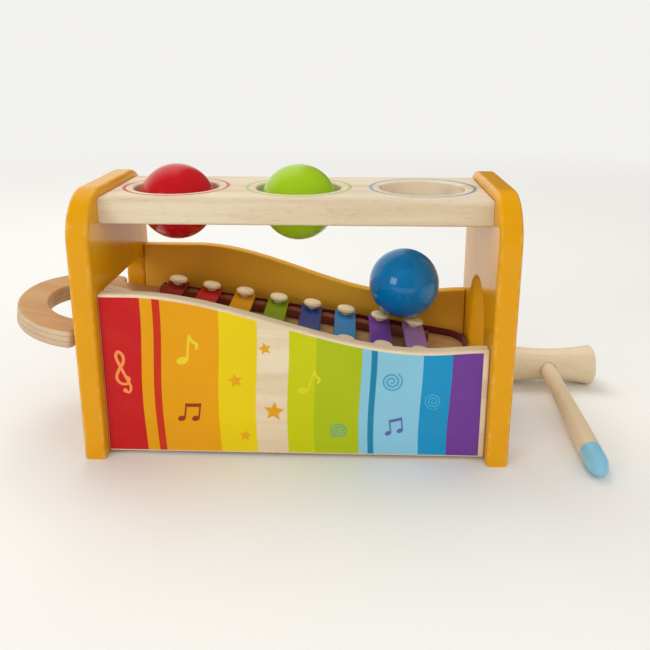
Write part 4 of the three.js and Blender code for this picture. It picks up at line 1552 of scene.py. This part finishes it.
def add_world():
    world = bpy.data.worlds.new("studio")
    scene.world = world
    world.use_nodes = True
    nodes = Nodes(world.node_tree)
    output = world.node_tree.nodes["World Output"]
    light = world.node_tree.nodes["Background"]
    light.inputs["Color"].default_value = (1.0, 0.99, 0.97, 1.0)
    light.inputs["Strength"].default_value = ROOM_LIGHT
    rays = nodes.add("ShaderNodeLightPath").outputs
    x, y, _ = nodes.split(nodes.add("ShaderNodeTexCoord").outputs["Generated"])
    left = nodes.sum("SUBTRACT", 1.0, nodes.rise(x, -0.1, 0.2))
    pale = nodes.sum("MULTIPLY", nodes.rise(y, -0.2, 0.5), left)
    room = nodes.mix(pale, colour("504E4B"), colour(ROOM_WHITE))
    sky = nodes.mix(rays["Is Glossy Ray"], colour(ROOM_WHITE), room)
    seen_sky = nodes.add("ShaderNodeBackground", {"Color": sky, "Strength": 1.0})
    seen = nodes.sum("MAXIMUM", rays["Is Camera Ray"], rays["Is Glossy Ray"])
    seen = nodes.sum("MAXIMUM", seen, rays["Is Transmission Ray"])
    both = nodes.add("ShaderNodeMixShader", {0: seen})
    nodes.feed(both.inputs[1], light.outputs[0])
    nodes.feed(both.inputs[2], seen_sky.outputs[0])
    nodes.feed(output.inputs["Surface"], both.outputs[0])


def add_lamp(name, place, size, power, mirrored):
    data = bpy.data.lights.new(name, "AREA")
    data.shape = "SQUARE"
    data.size = size
    data.energy = power
    lamp = bpy.data.objects.new(name, data)
    lamp.location = place
    aim = Vector((0, 0, AIM_HEIGHT)) - Vector(place)
    lamp.rotation_euler = aim.to_track_quat("-Z", "Y").to_euler()
    lamp.visible_glossy = mirrored
    scene.collection.objects.link(lamp)


# Each lamp: name, place, size, power, and whether it shows in glossy surfaces
LAMPS = (
    ("window", (-1.0, -1.2, 0.64), 0.6, 5, True),
    ("front", (-0.1, -1.2, 0.95), 0.8, 1.6, False),
    ("side", (1.2, -0.9, 0.9), 1.2, 3, False),
    ("top", (-0.4, 0.62, 1.35), 0.9, 8.5, False),
)

# The camera, in millimetres on the bench and degrees
CAMERA_PLACE = (32.2, -445.2, 231.1)
CAMERA_PITCH = 15.56
CAMERA_TURN = 2.11
CAMERA_LENS = 41.2
CAMERA_SHIFT = -0.1


def add_camera():
    data = bpy.data.cameras.new("camera")
    data.lens = CAMERA_LENS
    data.shift_y = CAMERA_SHIFT
    data.clip_start = 0.01
    camera = bpy.data.objects.new("camera", data)
    camera.location = bench_space @ Vector(CAMERA_PLACE)
    camera.rotation_euler = (math.radians(90 - CAMERA_PITCH), 0, math.radians(CAMERA_TURN))
    scene.collection.objects.link(camera)
    scene.camera = camera


add_floor()
add_world()
for lamp in LAMPS:
    add_lamp(*lamp)
add_camera()
scene.view_settings.view_transform = "Standard"
